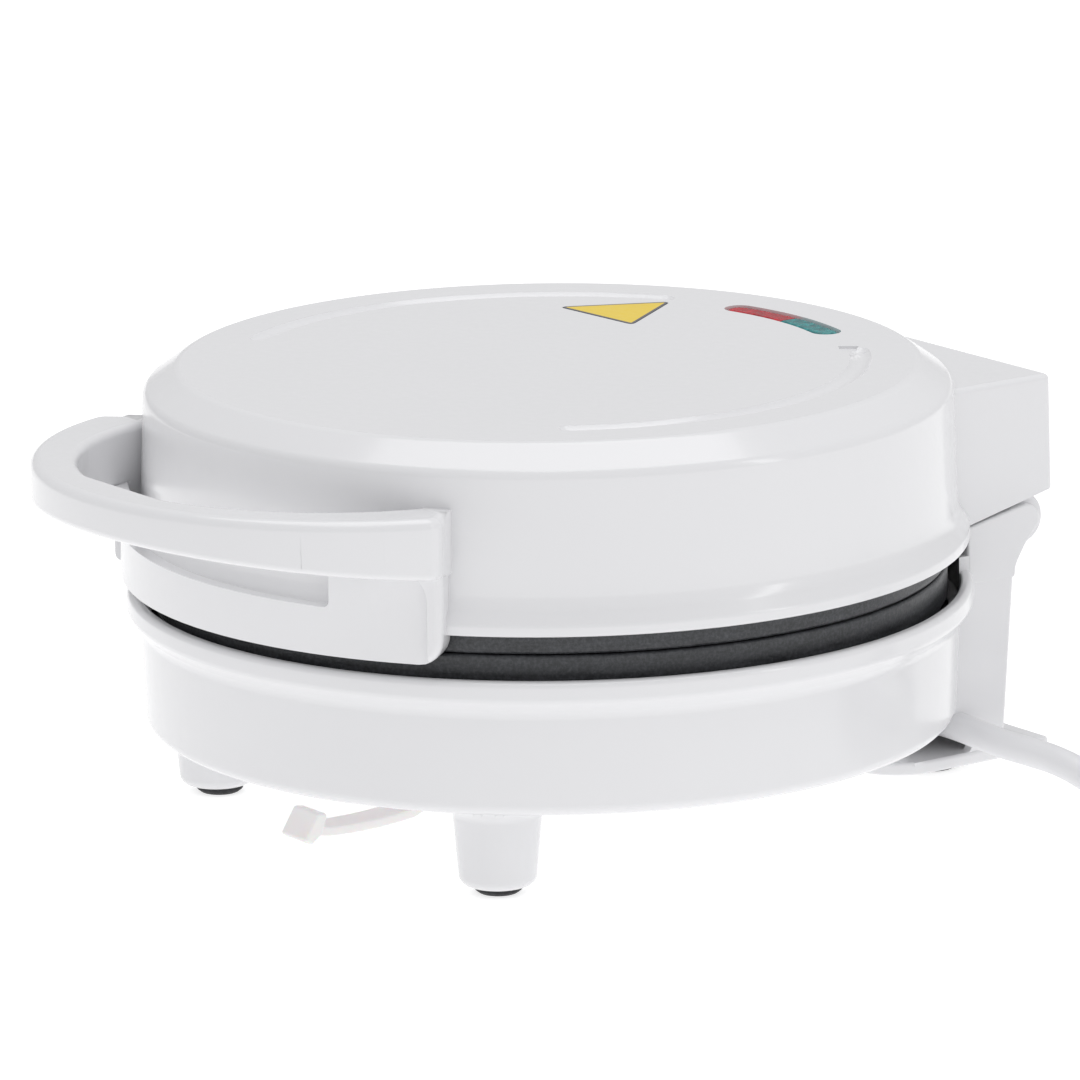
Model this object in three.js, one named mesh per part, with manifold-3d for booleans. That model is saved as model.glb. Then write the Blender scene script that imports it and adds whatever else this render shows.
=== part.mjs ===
// Donut maker: a round electric appliance with a hinged lid and two cooking plates that bake
// seven ring cakes. Millimetres, +Z up. The object is laid out around the axis of its cooking
// plates, with the handle towards -Y and the hinge towards +Y, and is then centred on its box.
import * as THREE from "three";
import { mergeVertices } from "three/addons/utils/BufferGeometryUtils.js";
import Module from "manifold-3d";

const wasm = await Module();
wasm.setup();

// ---------------------------------------------------------------- driving dimensions

// Fits
const TOUCH = 0.3; // air left between two pieces that touch
const SWING = 0.5; // air left beside a surface that turns past another
const WALL = 2.5; // moulded plastic wall

// Cooking plates
const DONUT_RADIUS = 26;
const DONUT_TUBE = 9.5; // radius of the ring cake's round section
const DONUT_WEB = 6; // metal between two neighbouring cavities
const DONUTS_AROUND = 6;
const PLATE_MARGIN = 9.6; // metal outside the outer cavities
const PLATE_SKIN = 2.6;
const PLATE_EDGE = 8; // height of the plate's skirt
const PARTING_HEIGHT = 59.2; // where the two plates meet

// Base
const STAND_HEIGHT = 21.7; // underside of the bowl above the table
const BOWL_STEP = 2.4; // bowl wall outside the plate's edge
const BOWL_TAPER = 2.3;
const HEAT_GAP = 3; // air between plate and rim
const RIM_WIDTH = 3.2;
const RIM_HEIGHT = 8.2;
const RIM_DROP = 5; // rim top below the parting plane

// Lid
const LID_HEIGHT = 47.8; // above the parting plane
const LIP_RISE = 5.3; // lip's lower edge above the parting plane
const LIP_FLARE = 3.3;
const LID_STEP = 2; // lid wall outside the plate's edge
const SHOULDER_WIDTH = 7.7; // sloping band round the flat top
const SHOULDER_DROP = 5.6;

// Handle and the front panel below it
const HANDLE_REACH = 37.4; // tip beyond the plate's edge
const HANDLE_RADIUS = 72.3; // outer outline
const HANDLE_BAR = 10; // width at the tip
const FINGER_RADIUS = 57; // inner outline
const HANDLE_TOP_DROP = 14.5; // handle's top face below the lid's top
const HANDLE_HEIGHT = 14;
const HANDLE_RISE = 1.5; // top face at the tip above its root
const HANDLE_LIFT = 6.5; // underside at the tip above its root
const PANEL_SKIN = 2; // wall between the finger gap and the panel's recess
const PANEL_HALF_ANGLE = 41;
const PANEL_STEP = 8.9; // panel frame outside the plate's edge
const PANEL_RECESS = 2.2; // panel's face behind the handle's root
const PANEL_DROP = 6.5; // panel's lower edge below the lip
const PANEL_CORNER = 6;
const SLOT_HALF_ANGLE = 24;
const SLOT_HEIGHT = 9.2;

// Rear block, hinge and tower
const HINGE_SETBACK = 6.9; // hinge axis behind the plate's edge
const HINGE_RISE = 4.3; // hinge axis above the parting plane
const PIN_RADIUS = 2.2;
const PIN_LENGTH = 14;
const BARREL_RADIUS = 4.5;
const BARREL_HALF_LENGTH = 45.3;
const BLOCK_HALF_WIDTH = 55.6;
const BLOCK_OVERHANG = 7; // block's rear face behind the hinge axis
const BLOCK_TOP_DROP = 9.5; // block's top below the lid's top
const BLOCK_CORNER = 4;
const BLOCK_SLOPE = 0.223; // rise of its underside towards the rear
const BLOCK_CLEARANCE = 5.3; // its underside above the hinge axis
const BLOCK_FRONT = 50; // its front end, hidden inside the lid
const CHEEK_DEPTH = 18.5; // from the hinge axis to the front of the cheek
const TOWER_INSET = 0.6; // tower's side inside the block's side
const TOWER_STEP = 3.7; // tower's rear face in front of the hinge axis
const TOWER_TAPER = 3.5;
const TOWER_TOP_DROP = 1.7; // tower's roof below the parting plane

// Cord shelf behind and below the bowl
const SHELF_BOTTOM = 6.5;
const SHELF_THICKNESS = 3.1;
const SHELF_FRONT = 57;
const SHELF_CORNER = 14;
const SHELF_POST_RADIUS = 5;
const SHELF_POST_INSET = 11; // its centre inside the shelf's side
const SHELF_POST_SETBACK = 9;

// Feet
const FOOT_INSET = 16; // foot centre inside the bowl wall
const FOOT_ANGLE = 44.8; // from the front
const FOOT_TOP_RADIUS = 10.3;
const FOOT_BOTTOM_RADIUS = 8.8;
const FOOT_CLEAR = 2; // plastic above the table
const PAD_RADIUS = 5.6;
const REAR_PAD_RADIUS = 8;
const REAR_PAD_X = 30;
const REAR_PAD_INSET = 17; // its centre in front of the shelf's rear edge

// Cord hook under the bowl
const HOOK_ROOT = 30; // in front of the plates' axis
const HOOK_HALF_WIDTH = 4;
const HOOK_HEAD_HALF_WIDTH = 5.3;
const HOOK_THICKNESS = 2.4;

// Heating
const ELEMENT_TUBE = 3; // radius of the heating element's sheath
const REFLECTOR_THICKNESS = 1;
const REFLECTOR_MARGIN = 14; // reflector's edge outside the element's circle
const REFLECTOR_GAP = 1.5; // air behind the heating element
const ELEMENT_OPENING = 14; // half the angle between its two ends
const THERMOSTAT_RADIUS = 8.5;
const FUSE_RADIUS = 2.2;
const FUSE_HALF_LENGTH = 9;

// Screws
const SHANK_RADIUS = 1.5;
const HEAD_RADIUS = 3.3;
const HEAD_HEIGHT = 2.2;
const SCREW_BOSS_RADIUS = 4.6;
const INNER_SCREW_LENGTH = 11;
const OUTER_SCREW_LENGTH = 18;
const OUTER_SCREW_INSET = 13.6; // screw centre inside the plate's edge
const POST_RADIUS = 6;
const POST_SHELF = 9; // plastic between a base screw's head and the top of its post

// Indicator window and the grooves in the lid's top
const WINDOW_RADIUS = 71.5;
const WINDOW_HALF_WIDTH = 3.7;
const WINDOW_HALF_ANGLE = 13.5;
const GROOVE_RADIUS = 73.2;
const GROOVE_HALF_WIDTH = 2.6;
const GROOVE_DEPTH = 1.2;
const GROOVE_START = 28; // from the rear, on each side
const GROOVE_END = 122;
const LAMP_RADIUS = 2.6;
const LAMP_LENGTH = 12;

// Triangular label in a shallow recess in the lid's top
const LABEL_RADIUS = 15.6; // from its centre to a corner
const LABEL_X = -32.2;
const LABEL_Y = 45.4;
const LABEL_TURN = 93.5; // direction of its rear corner
const LABEL_THICKNESS = 0.4;
const LABEL_PROUD = 0.1;

// Mains cord
const CORD_RADIUS = 3.5;
const CORD_SIDES = 10;
const COIL_RADIUS = 38.5; // at the middle of its turns
const COIL_LAYERS = 2;
const TIE_ANGLE = 100;
const COIL_REACH = 75; // coil's centre to the right of the cord's exit
const COIL_SETBACK = 8.2; // near side of the coil behind the cord's exit
const GLAND_HALF_WIDTH = 6;
const GLAND_LEFT = 18; // left side of the gland's neck
const GLAND_WALL_GAP = 0.8; // between the neck's corner and the bowl's wall
const SLEEVE_INSET = 5; // end of the gland's sleeve inside the tower's side
const CORD_TAIL_IN = 3; // length of cord held in the neck
const PLUG_RADIUS = 18.5;
const PLUG_LENGTH = 42;
const PLUG_PIN_LENGTH = 19;
const PLUG_PIN_RADIUS = 2.4;
const PLUG_PIN_SPACING = 19;

// Smoothness
const ROUND = 40; // facets of the large round shells
const SMALL_ROUND = 16;

// ---------------------------------------------------------------- derived dimensions

const rad = THREE.MathUtils.degToRad;

const donutPitch = 2 * DONUT_RADIUS + DONUT_WEB;
const donutRing = DONUT_RADIUS - DONUT_TUBE;
const plateRadius = donutPitch + DONUT_RADIUS + PLATE_MARGIN;
const podDepth = DONUT_TUBE + PLATE_SKIN;

const bowlRadius = plateRadius + BOWL_STEP;
const bowlFootRadius = bowlRadius - BOWL_TAPER;
const rimBore = plateRadius + HEAT_GAP;
const rimRadius = rimBore + RIM_WIDTH;
const rimTop = PARTING_HEIGHT - RIM_DROP;
const rimBottom = rimTop - RIM_HEIGHT;
const floorTop = STAND_HEIGHT + WALL;

const lidTop = PARTING_HEIGHT + LID_HEIGHT;
const lipBottom = PARTING_HEIGHT + LIP_RISE;
const lidRadius = plateRadius + LID_STEP;
const lipRadius = lidRadius + LIP_FLARE;
const lidFlatRadius = lidRadius - 1 - SHOULDER_WIDTH;
const lidCeiling = lidTop - WALL;

const handleTop = lidTop - HANDLE_TOP_DROP;
const handleBottom = handleTop - HANDLE_HEIGHT;
const handleTip = -(plateRadius + HANDLE_REACH);
const handleCentre = handleTip + HANDLE_RADIUS;
const fingerCentre = handleTip + HANDLE_BAR + FINGER_RADIUS;
const panelRadius = plateRadius + PANEL_STEP;
const panelBottom = lipBottom - PANEL_DROP;

const hingeY = plateRadius + HINGE_SETBACK;
const hingeZ = PARTING_HEIGHT + HINGE_RISE;
const blockRear = hingeY + BLOCK_OVERHANG;
const blockTop = lidTop - BLOCK_TOP_DROP;
const blockInside = BLOCK_HALF_WIDTH - WALL;
const towerHalfWidth = BLOCK_HALF_WIDTH - TOWER_INSET;
const towerRear = hingeY - TOWER_STEP;
const towerTop = PARTING_HEIGHT - TOWER_TOP_DROP;
const shelfTop = SHELF_BOTTOM + SHELF_THICKNESS;
const shelfRear = blockRear - 0.8;
const cheekInside = BARREL_HALF_LENGTH + TOUCH;

const elementGap = podDepth + TOUCH + ELEMENT_TUBE; // plate face to the element's centre line
const reflectorGap = elementGap + ELEMENT_TUBE + REFLECTOR_GAP;
const reflectorRadius = donutPitch + REFLECTOR_MARGIN;
const innerScrewCircle = donutPitch / Math.sqrt(3); // between three neighbouring cavities
const outerScrewCircle = plateRadius - OUTER_SCREW_INSET;
const lowerFace = PARTING_HEIGHT - TOUCH / 2; // working faces of the two plates
const upperFace = PARTING_HEIGHT + TOUCH / 2;
const lowerPostTop = lowerFace - podDepth - 1;
const lowerScrewSeat = lowerPostTop - POST_SHELF;
const upperPostLow = upperFace + podDepth + 1;
const boreRadius = SHANK_RADIUS + TOUCH;
const screwAngles = [30, 150, 270];

const lensBottom = lidCeiling - 1.5;
const lampTop = lensBottom - TOUCH;
const footReach = bowlRadius - FOOT_INSET;

// The cord leaves the tower here, towards +X.
const glandRight = GLAND_LEFT + 2 * GLAND_HALF_WIDTH;
const glandReach = bowlFootRadius - WALL - GLAND_WALL_GAP;
const glandRear = Math.sqrt(glandReach ** 2 - glandRight ** 2);
const [exitX, exitY] = [towerHalfWidth, glandRear - GLAND_HALF_WIDTH];
const exitZ = STAND_HEIGHT - CORD_RADIUS - 1;
const coilCentre = [exitX + COIL_REACH, exitY + COIL_SETBACK + COIL_RADIUS];

const plugPinRoot = PLUG_LENGTH - 6;

const boxCentreY = (handleTip + blockRear) / 2;

// ---------------------------------------------------------------- solids

// A closed solid from any closed geometry, with its faces turned outwards.
function solid(geometry) {
  const bare = geometry.clone();
  bare.deleteAttribute("normal");
  bare.deleteAttribute("uv");
  const merged = mergeVertices(bare, 1e-4);
  const points = merged.attributes.position;
  const index = merged.index.array;
  const kept = [];
  let volume = 0;
  const [a, b, c] = [new THREE.Vector3(), new THREE.Vector3(), new THREE.Vector3()];
  for (let i = 0; i < index.length; i += 3) {
    const [p, q, r] = [index[i], index[i + 1], index[i + 2]];
    if (p === q || q === r || r === p) continue;
    kept.push(p, q, r);
    a.fromBufferAttribute(points, p);
    b.fromBufferAttribute(points, q);
    c.fromBufferAttribute(points, r);
    volume += a.dot(b.cross(c));
  }
  const triVerts = new Uint32Array(volume < 0 ? kept.reverse() : kept);
  const vertProperties = new Float32Array(points.array);
  return new wasm.Manifold(new wasm.Mesh({ numProp: 3, vertProperties, triVerts }));
}

// A solid of revolution about Z from [radius, height] points, closed on the axis or on itself.
function turned(profile, segments = ROUND) {
  const points = profile.map(([radius, height]) => new THREE.Vector2(radius, height));
  if (profile[0][0] > 0 || profile.at(-1)[0] > 0) points.push(points[0].clone());
  return solid(new THREE.LatheGeometry(points, segments).rotateX(Math.PI / 2));
}

// A flat outline in XY made solid between two heights.
function prism(shape, low, high, curveSegments = SMALL_ROUND / 2) {
  const options = { depth: high - low, bevelEnabled: false, curveSegments };
  return solid(new THREE.ExtrudeGeometry(shape, options).translate(0, 0, low));
}

function cylinder(radius, x, y, low, high, segments = SMALL_ROUND) {
  const geometry = new THREE.CylinderGeometry(radius, radius, high - low, segments);
  return solid(geometry.rotateX(Math.PI / 2).translate(x, y, (low + high) / 2));
}

function cylinderAlongX(radius, left, right, y, z, segments = SMALL_ROUND) {
  const geometry = new THREE.CylinderGeometry(radius, radius, right - left, segments);
  return solid(geometry.rotateZ(Math.PI / 2).translate((left + right) / 2, y, z));
}

function box(x0, x1, y0, y1, z0, z1) {
  const geometry = new THREE.BoxGeometry(x1 - x0, y1 - y0, z1 - z0);
  return solid(geometry.translate((x0 + x1) / 2, (y0 + y1) / 2, (z0 + z1) / 2));
}

function circle(x, y, radius) {
  return new THREE.Shape().absarc(x, y, radius, 0, 2 * Math.PI, false);
}

// A pie slice about the origin; angles in degrees, counter-clockwise from +X.
function slice(start, end, radius) {
  const shape = new THREE.Shape().moveTo(0, 0);
  shape.lineTo(radius * Math.cos(rad(start)), radius * Math.sin(rad(start)));
  return shape.absarc(0, 0, radius, rad(start), rad(end), false);
}

// A curved slot with round ends, concentric with the plates.
function arcSlot(radius, halfWidth, start, end) {
  const [from, to] = [rad(start), rad(end)];
  const shape = new THREE.Shape();
  const cap = (angle, turn) => {
    const [x, y] = [radius * Math.cos(angle), radius * Math.sin(angle)];
    shape.absarc(x, y, halfWidth, turn, turn + Math.PI, false);
  };
  shape.absarc(0, 0, radius + halfWidth, from, to, false);
  cap(to, to);
  shape.absarc(0, 0, radius - halfWidth, to, from, true);
  cap(from, from + Math.PI);
  return shape;
}

// A rectangle symmetric about X = 0, with its own corner radius at the front and at the rear.
function roundedPlan(halfWidth, front, rear, frontRadius, rearRadius) {
  const quarter = Math.PI / 2;
  const [frontX, rearX] = [halfWidth - frontRadius, halfWidth - rearRadius];
  const shape = new THREE.Shape().moveTo(-frontX, front);
  const corner = (x, y, radius, turn) => shape.absarc(x, y, radius, turn, turn + quarter, false);
  shape.lineTo(frontX, front);
  if (frontRadius > 0) corner(frontX, front + frontRadius, frontRadius, -quarter);
  corner(rearX, rear - rearRadius, rearRadius, 0);
  corner(-rearX, rear - rearRadius, rearRadius, quarter);
  if (frontRadius > 0) corner(-frontX, front + frontRadius, frontRadius, 2 * quarter);
  else shape.lineTo(-frontX, front);
  return shape;
}

// A side view in [y, z] points made solid between two X positions.
function sidePrism(outline, left, right) {
  const shape = new THREE.Shape(outline.map(([y, z]) => new THREE.Vector2(y, z)));
  const geometry = new THREE.ExtrudeGeometry(shape, { depth: right - left, bevelEnabled: false });
  const turn = new THREE.Matrix4().makeBasis(
    new THREE.Vector3(0, 1, 0),
    new THREE.Vector3(0, 0, 1),
    new THREE.Vector3(1, 0, 0),
  );
  return solid(geometry.applyMatrix4(turn).translate(left, 0, 0));
}

// A front view in XZ made solid between two Y positions.
function frontPrism(shape, front, rear) {
  const geometry = new THREE.ExtrudeGeometry(shape, {
    depth: rear - front,
    bevelEnabled: false,
    curveSegments: 5,
  });
  return solid(geometry.rotateX(Math.PI / 2).translate(0, rear, 0));
}

// A round bar along a smooth route.
function swept(points, radius, sides, steps) {
  const route = new THREE.CatmullRomCurve3(points.map((point) => new THREE.Vector3(...point)));
  const section = new THREE.Shape();
  for (let side = 0; side < sides; side += 1) {
    const angle = (2 * Math.PI * side) / sides;
    const [x, y] = [radius * Math.cos(angle), radius * Math.sin(angle)];
    if (side === 0) section.moveTo(x, y);
    else section.lineTo(x, y);
  }
  const options = { extrudePath: route, steps, bevelEnabled: false };
  return solid(new THREE.ExtrudeGeometry(section, options));
}

// Places of the three screws of a circle.
function screwPlaces(radius) {
  return screwAngles.map((angle) => [radius * Math.cos(rad(angle)), radius * Math.sin(rad(angle))]);
}

// ---------------------------------------------------------------- shared outlines

// Everything inside the bowl wall, open upwards past the rim.
function bowlHollow() {
  return turned([
    [0, floorTop],
    [bowlFootRadius - WALL - 1.5, floorTop],
    [bowlFootRadius - WALL, floorTop + 2],
    [bowlRadius - WALL, rimBottom + 1],
    [rimBore, rimBottom + 2.5],
    [rimBore, hingeZ],
    [0, hingeZ],
  ]);
}

// Everything inside the lid wall, open downwards past the lip.
function lidHollow() {
  const plateClear = plateRadius + 1.2;
  return turned([
    [0, lipBottom - 2 * PANEL_DROP],
    [plateClear, lipBottom - 2 * PANEL_DROP],
    [plateClear, PARTING_HEIGHT + PLATE_EDGE + 1.2],
    [lidRadius - WALL, PARTING_HEIGHT + PLATE_EDGE + 2.4],
    [lidRadius - 1 - WALL, lidTop - SHOULDER_DROP - 1.5],
    [lidFlatRadius - 1, lidCeiling],
    [0, lidCeiling],
  ]);
}

// Height of the block's sloping underside.
function undersideAt(y) {
  return hingeZ + BLOCK_CLEARANCE + BLOCK_SLOPE * (y - hingeY);
}

// Leans the rear face of a tower solid forward towards the table.
function leaned(shape, low, high) {
  const geometry = new THREE.ExtrudeGeometry(shape, {
    depth: high - low,
    bevelEnabled: false,
    curveSegments: 4,
  });
  geometry.translate(0, 0, low);
  const points = geometry.attributes.position;
  for (let i = 0; i < points.count; i += 1) {
    const share = (towerTop - points.getZ(i)) / (towerTop - shelfTop);
    if (points.getY(i) > plateRadius - BLOCK_CORNER) {
      points.setY(i, points.getY(i) - TOWER_TAPER * share);
    }
  }
  return solid(geometry);
}

// ---------------------------------------------------------------- base pieces

function frontFoot(x, y) {
  const foot = turned([
    [0, FOOT_CLEAR],
    [FOOT_BOTTOM_RADIUS - 2, FOOT_CLEAR],
    [FOOT_BOTTOM_RADIUS, FOOT_CLEAR + 2],
    [FOOT_TOP_RADIUS, STAND_HEIGHT - 1],
    [FOOT_TOP_RADIUS + 1.5, STAND_HEIGHT + 0.5],
    [0, STAND_HEIGHT + 0.5],
  ], SMALL_ROUND + 4);
  const socket = cylinder(PAD_RADIUS + TOUCH, 0, 0, 0, FOOT_CLEAR + 2 + TOUCH);
  return foot.subtract(socket).translate(x, y, 0);
}

// Hinge cheek on the right-hand side: an outer skin under the block, and an inner ear inside it.
function hingeCheek() {
  const top = (y) => undersideAt(y) - SWING;
  const low = rimTop - 4;
  const front = hingeY - CHEEK_DEPTH;
  const knuckle = BLOCK_CLEARANCE - SWING - 0.1;
  const outline = [[front, low], [front, top(front)]];
  for (let angle = 102; angle >= -18; angle -= 20) {
    const [y, z] = [knuckle * Math.cos(rad(angle)), knuckle * Math.sin(rad(angle))];
    outline.push([hingeY + y, hingeZ + z]);
  }
  outline.push([hingeY + 0.5, hingeZ - 4.7], [towerRear, rimTop - 0.7], [towerRear - 0.3, low]);
  const skin = sidePrism(outline, cheekInside, towerHalfWidth);
  const earOut = blockInside - SWING;
  const ear = cylinderAlongX(BARREL_RADIUS + 1.5, cheekInside, earOut, hingeY, hingeZ, 24);
  const stem = box(cheekInside, earOut, hingeY - 6, hingeY, towerTop, hingeZ);
  const bore = PIN_RADIUS + TOUCH;
  const pinHole = cylinderAlongX(bore, cheekInside - 1, earOut - TOUCH, hingeY, hingeZ);
  return skin.add(ear).add(stem).subtract(pinHole);
}

// Hollow tower behind the bowl, open at the front below the bowl where the cord comes out.
function tower() {
  const front = SHELF_FRONT + SHELF_POST_SETBACK;
  const rear = roundedPlan(towerHalfWidth, front, towerRear, 0, BLOCK_CORNER);
  const inside = roundedPlan(towerHalfWidth - WALL, front - 4, towerRear - WALL, 0, 2);
  const outer = leaned(rear, shelfTop - 1, towerTop);
  const hollow = leaned(inside, shelfTop, towerTop - WALL);
  const reach = towerHalfWidth + 1;
  const mouthRear = exitY + CORD_RADIUS + 3;
  const cordMouth = box(-reach, reach, SHELF_FRONT, mouthRear, shelfTop, STAND_HEIGHT);
  return outer.subtract(hollow).subtract(cordMouth);
}

// Plate under the tower, on two posts; the stored cord is wound above it.
function shelf() {
  const plan = roundedPlan(BLOCK_HALF_WIDTH, SHELF_FRONT, shelfRear, SHELF_CORNER, 1.5);
  let plate = prism(plan, SHELF_BOTTOM, shelfTop, 5);
  const y = SHELF_FRONT + SHELF_POST_SETBACK;
  for (const side of [-1, 1]) {
    const x = side * (BLOCK_HALF_WIDTH - SHELF_POST_INSET);
    plate = plate.add(cylinder(SHELF_POST_RADIUS, x, y, shelfTop - 1, floorTop - 1));
  }
  return plate;
}

// Hollow post that takes a screw driven from below into the cooking plate.
function housingPost(x, y) {
  return cylinder(POST_RADIUS, x, y, STAND_HEIGHT + 1, lowerPostTop);
}

function housingPostBore(x, y) {
  const head = cylinder(HEAD_RADIUS + TOUCH, x, y, STAND_HEIGHT - 1, lowerScrewSeat);
  return head.add(cylinder(boreRadius, x, y, lowerScrewSeat - 1, lowerPostTop + 1));
}

// Bowl, rim, tower, hinge cheeks, shelf and feet, moulded as one piece.
function baseHousing() {
  const shell = turned([
    [0, STAND_HEIGHT],
    [bowlFootRadius - 3, STAND_HEIGHT],
    [bowlFootRadius - 0.8, STAND_HEIGHT + 0.8],
    [bowlFootRadius, STAND_HEIGHT + 3],
    [bowlRadius, rimBottom],
    [rimRadius - 0.7, rimBottom + 1.2],
    [rimRadius, rimBottom + 3.6],
    [rimRadius - 0.3, rimTop - 1.6],
    [rimRadius - 1.6, rimTop],
    [rimBore, rimTop],
    [rimBore, hingeZ],
    [0, hingeZ],
  ]);
  const cheek = hingeCheek();
  const lidPath = turned([
    [0, hingeZ - SWING],
    [lipRadius + SWING, hingeZ - SWING],
    [lipRadius + SWING, lidTop],
    [0, lidTop],
  ]);
  let body = shell.add(tower()).add(cheek).add(cheek.mirror([1, 0, 0]));
  body = body.subtract(lidPath).subtract(bowlHollow()).add(shelf());
  for (const side of [-1, 1]) {
    body = body.add(frontFoot(...footPlace(side)));
  }
  for (const [x, y] of screwPlaces(outerScrewCircle)) {
    body = body.add(housingPost(x, y)).subtract(housingPostBore(x, y));
  }
  const glandHole = box(...glandNeck(TOUCH), STAND_HEIGHT - WALL, floorTop + 3 + TOUCH);
  return body.subtract(glandHole);
}

function footPlace(side) {
  const angle = rad(FOOT_ANGLE);
  return [side * footReach * Math.sin(angle), -footReach * Math.cos(angle)];
}

// Plan of the cord gland's neck where it passes through the bowl's floor.
function glandNeck(margin) {
  const half = GLAND_HALF_WIDTH + margin;
  return [GLAND_LEFT - margin, glandRight + margin, exitY - half, exitY + half];
}

// Cooking plate with its working face at height zero and its back upwards.
function cookingPlate(screwFromFace) {
  const pad = plateRadius - 3;
  let plate = turned([
    [0, 0],
    [plateRadius - 0.6, 0],
    [plateRadius, 0.6],
    [plateRadius, PLATE_EDGE],
    [pad, PLATE_EDGE],
    [pad, PLATE_SKIN],
    [0, PLATE_SKIN],
  ]);
  const centres = [[0, 0]];
  for (let i = 0; i < DONUTS_AROUND; i += 1) {
    const angle = (2 * Math.PI * i) / DONUTS_AROUND;
    centres.push([donutPitch * Math.cos(angle), donutPitch * Math.sin(angle)]);
  }
  for (const [x, y] of centres) {
    plate = plate.add(cylinder(DONUT_RADIUS + PLATE_SKIN, x, y, PLATE_SKIN - 1, podDepth, 12));
  }
  for (const [x, y] of centres) {
    const cake = new THREE.TorusGeometry(donutRing, DONUT_TUBE, 8, 18);
    plate = plate.subtract(solid(cake.translate(x, y, 0)));
  }
  const innerTop = reflectorGap - TOUCH;
  const outerTop = podDepth + 1 - TOUCH;
  for (const [x, y] of screwPlaces(innerScrewCircle)) {
    plate = plate.add(cylinder(SCREW_BOSS_RADIUS, x, y, PLATE_SKIN - 1, innerTop))
      .subtract(cylinder(boreRadius, x, y, innerTop - INNER_SCREW_LENGTH, innerTop + 1));
  }
  for (const [x, y] of screwPlaces(outerScrewCircle)) {
    plate = plate.add(cylinder(SCREW_BOSS_RADIUS, x, y, PLATE_SKIN - 1, outerTop))
      .subtract(cylinder(boreRadius, x, y, screwFromFace ? -1 : PLATE_SKIN, outerTop + 1));
    if (screwFromFace) {
      plate = plate.subtract(cylinder(HEAD_RADIUS + TOUCH, x, y, -1, HEAD_HEIGHT + 2 * TOUCH));
    }
  }
  return plate;
}

// Tubular heating element: an open ring with two cold ends that turn away from the plate.
function heatingElement() {
  const points = [];
  const add = (angle, radius, height) => {
    points.push([radius * Math.cos(rad(angle)), radius * Math.sin(rad(angle)), height]);
  };
  const [start, end] = [90 + ELEMENT_OPENING, 450 - ELEMENT_OPENING];
  const coldHeight = reflectorGap - TOUCH - ELEMENT_TUBE;
  add(start - 6, donutPitch + 6, coldHeight);
  add(start - 3, donutPitch + 3, elementGap + 0.6);
  for (let i = 0; i <= 14; i += 1) {
    add(start + ((end - start) * i) / 14, donutPitch, elementGap);
  }
  add(end + 3, donutPitch + 3, elementGap + 0.6);
  add(end + 6, donutPitch + 6, coldHeight);
  return swept(points, ELEMENT_TUBE, 6, 32);
}

// Dished sheet behind the element that throws its heat back at the plate.
function reflector() {
  const [low, high] = [reflectorGap, reflectorGap + REFLECTOR_THICKNESS];
  let dish = turned([
    [0, low],
    [reflectorRadius - 3, low],
    [reflectorRadius - 1, low - 2],
    [reflectorRadius, low - 2],
    [reflectorRadius - 1.6, high],
    [0, high],
  ], 36);
  for (const [x, y] of screwPlaces(innerScrewCircle)) {
    dish = dish.subtract(cylinder(boreRadius, x, y, low - 5, high + 5));
  }
  return dish;
}

// Screw with its head's underside at height zero and its shank upwards.
function screw(length) {
  return turned([
    [0, -HEAD_HEIGHT],
    [HEAD_RADIUS, -HEAD_HEIGHT],
    [HEAD_RADIUS, 0],
    [SHANK_RADIUS, 0],
    [SHANK_RADIUS, length],
    [0, length],
  ], 8);
}

// Springy strap that hangs from the bowl and ends in a T-shaped head.
function cordHook() {
  const half = HOOK_THICKNESS / 2;
  const root = STAND_HEIGHT - TOUCH;
  const route = [[0, root], [-3, 13], [-9, 6.2], [-17, 4.6], [-27, 4.2], [-37, 4.6], [-42, 6]];
  const middle = route.map(([y, z]) => new THREE.Vector3(0, y - HOOK_ROOT, z));
  const curve = new THREE.CatmullRomCurve3(middle).getPoints(16);
  const upper = curve.map((point, i) => {
    const next = curve[Math.min(i + 1, curve.length - 1)];
    const last = curve[Math.max(i - 1, 0)];
    const along = next.clone().sub(last).normalize();
    return [point.y + along.z * half, point.z - along.y * half];
  });
  const lower = curve.map((point, i) => [2 * point.y - upper[i][0], 2 * point.z - upper[i][1]]);
  const outline = [...upper, ...lower.reverse()].map(([y, z]) => [y, Math.min(z, root)]);
  const strap = sidePrism(outline, -HOOK_HALF_WIDTH, HOOK_HALF_WIDTH);
  const profile = [[-40, 9.5], [-43, 10], [-47, 3.6], [-44.5, 2.4], [-41, 4]];
  const head = sidePrism(
    profile.map(([y, z]) => [y - HOOK_ROOT, z]),
    -HOOK_HEAD_HALF_WIDTH,
    HOOK_HEAD_HALF_WIDTH,
  );
  return strap.add(head);
}

// ---------------------------------------------------------------- lid pieces

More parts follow.
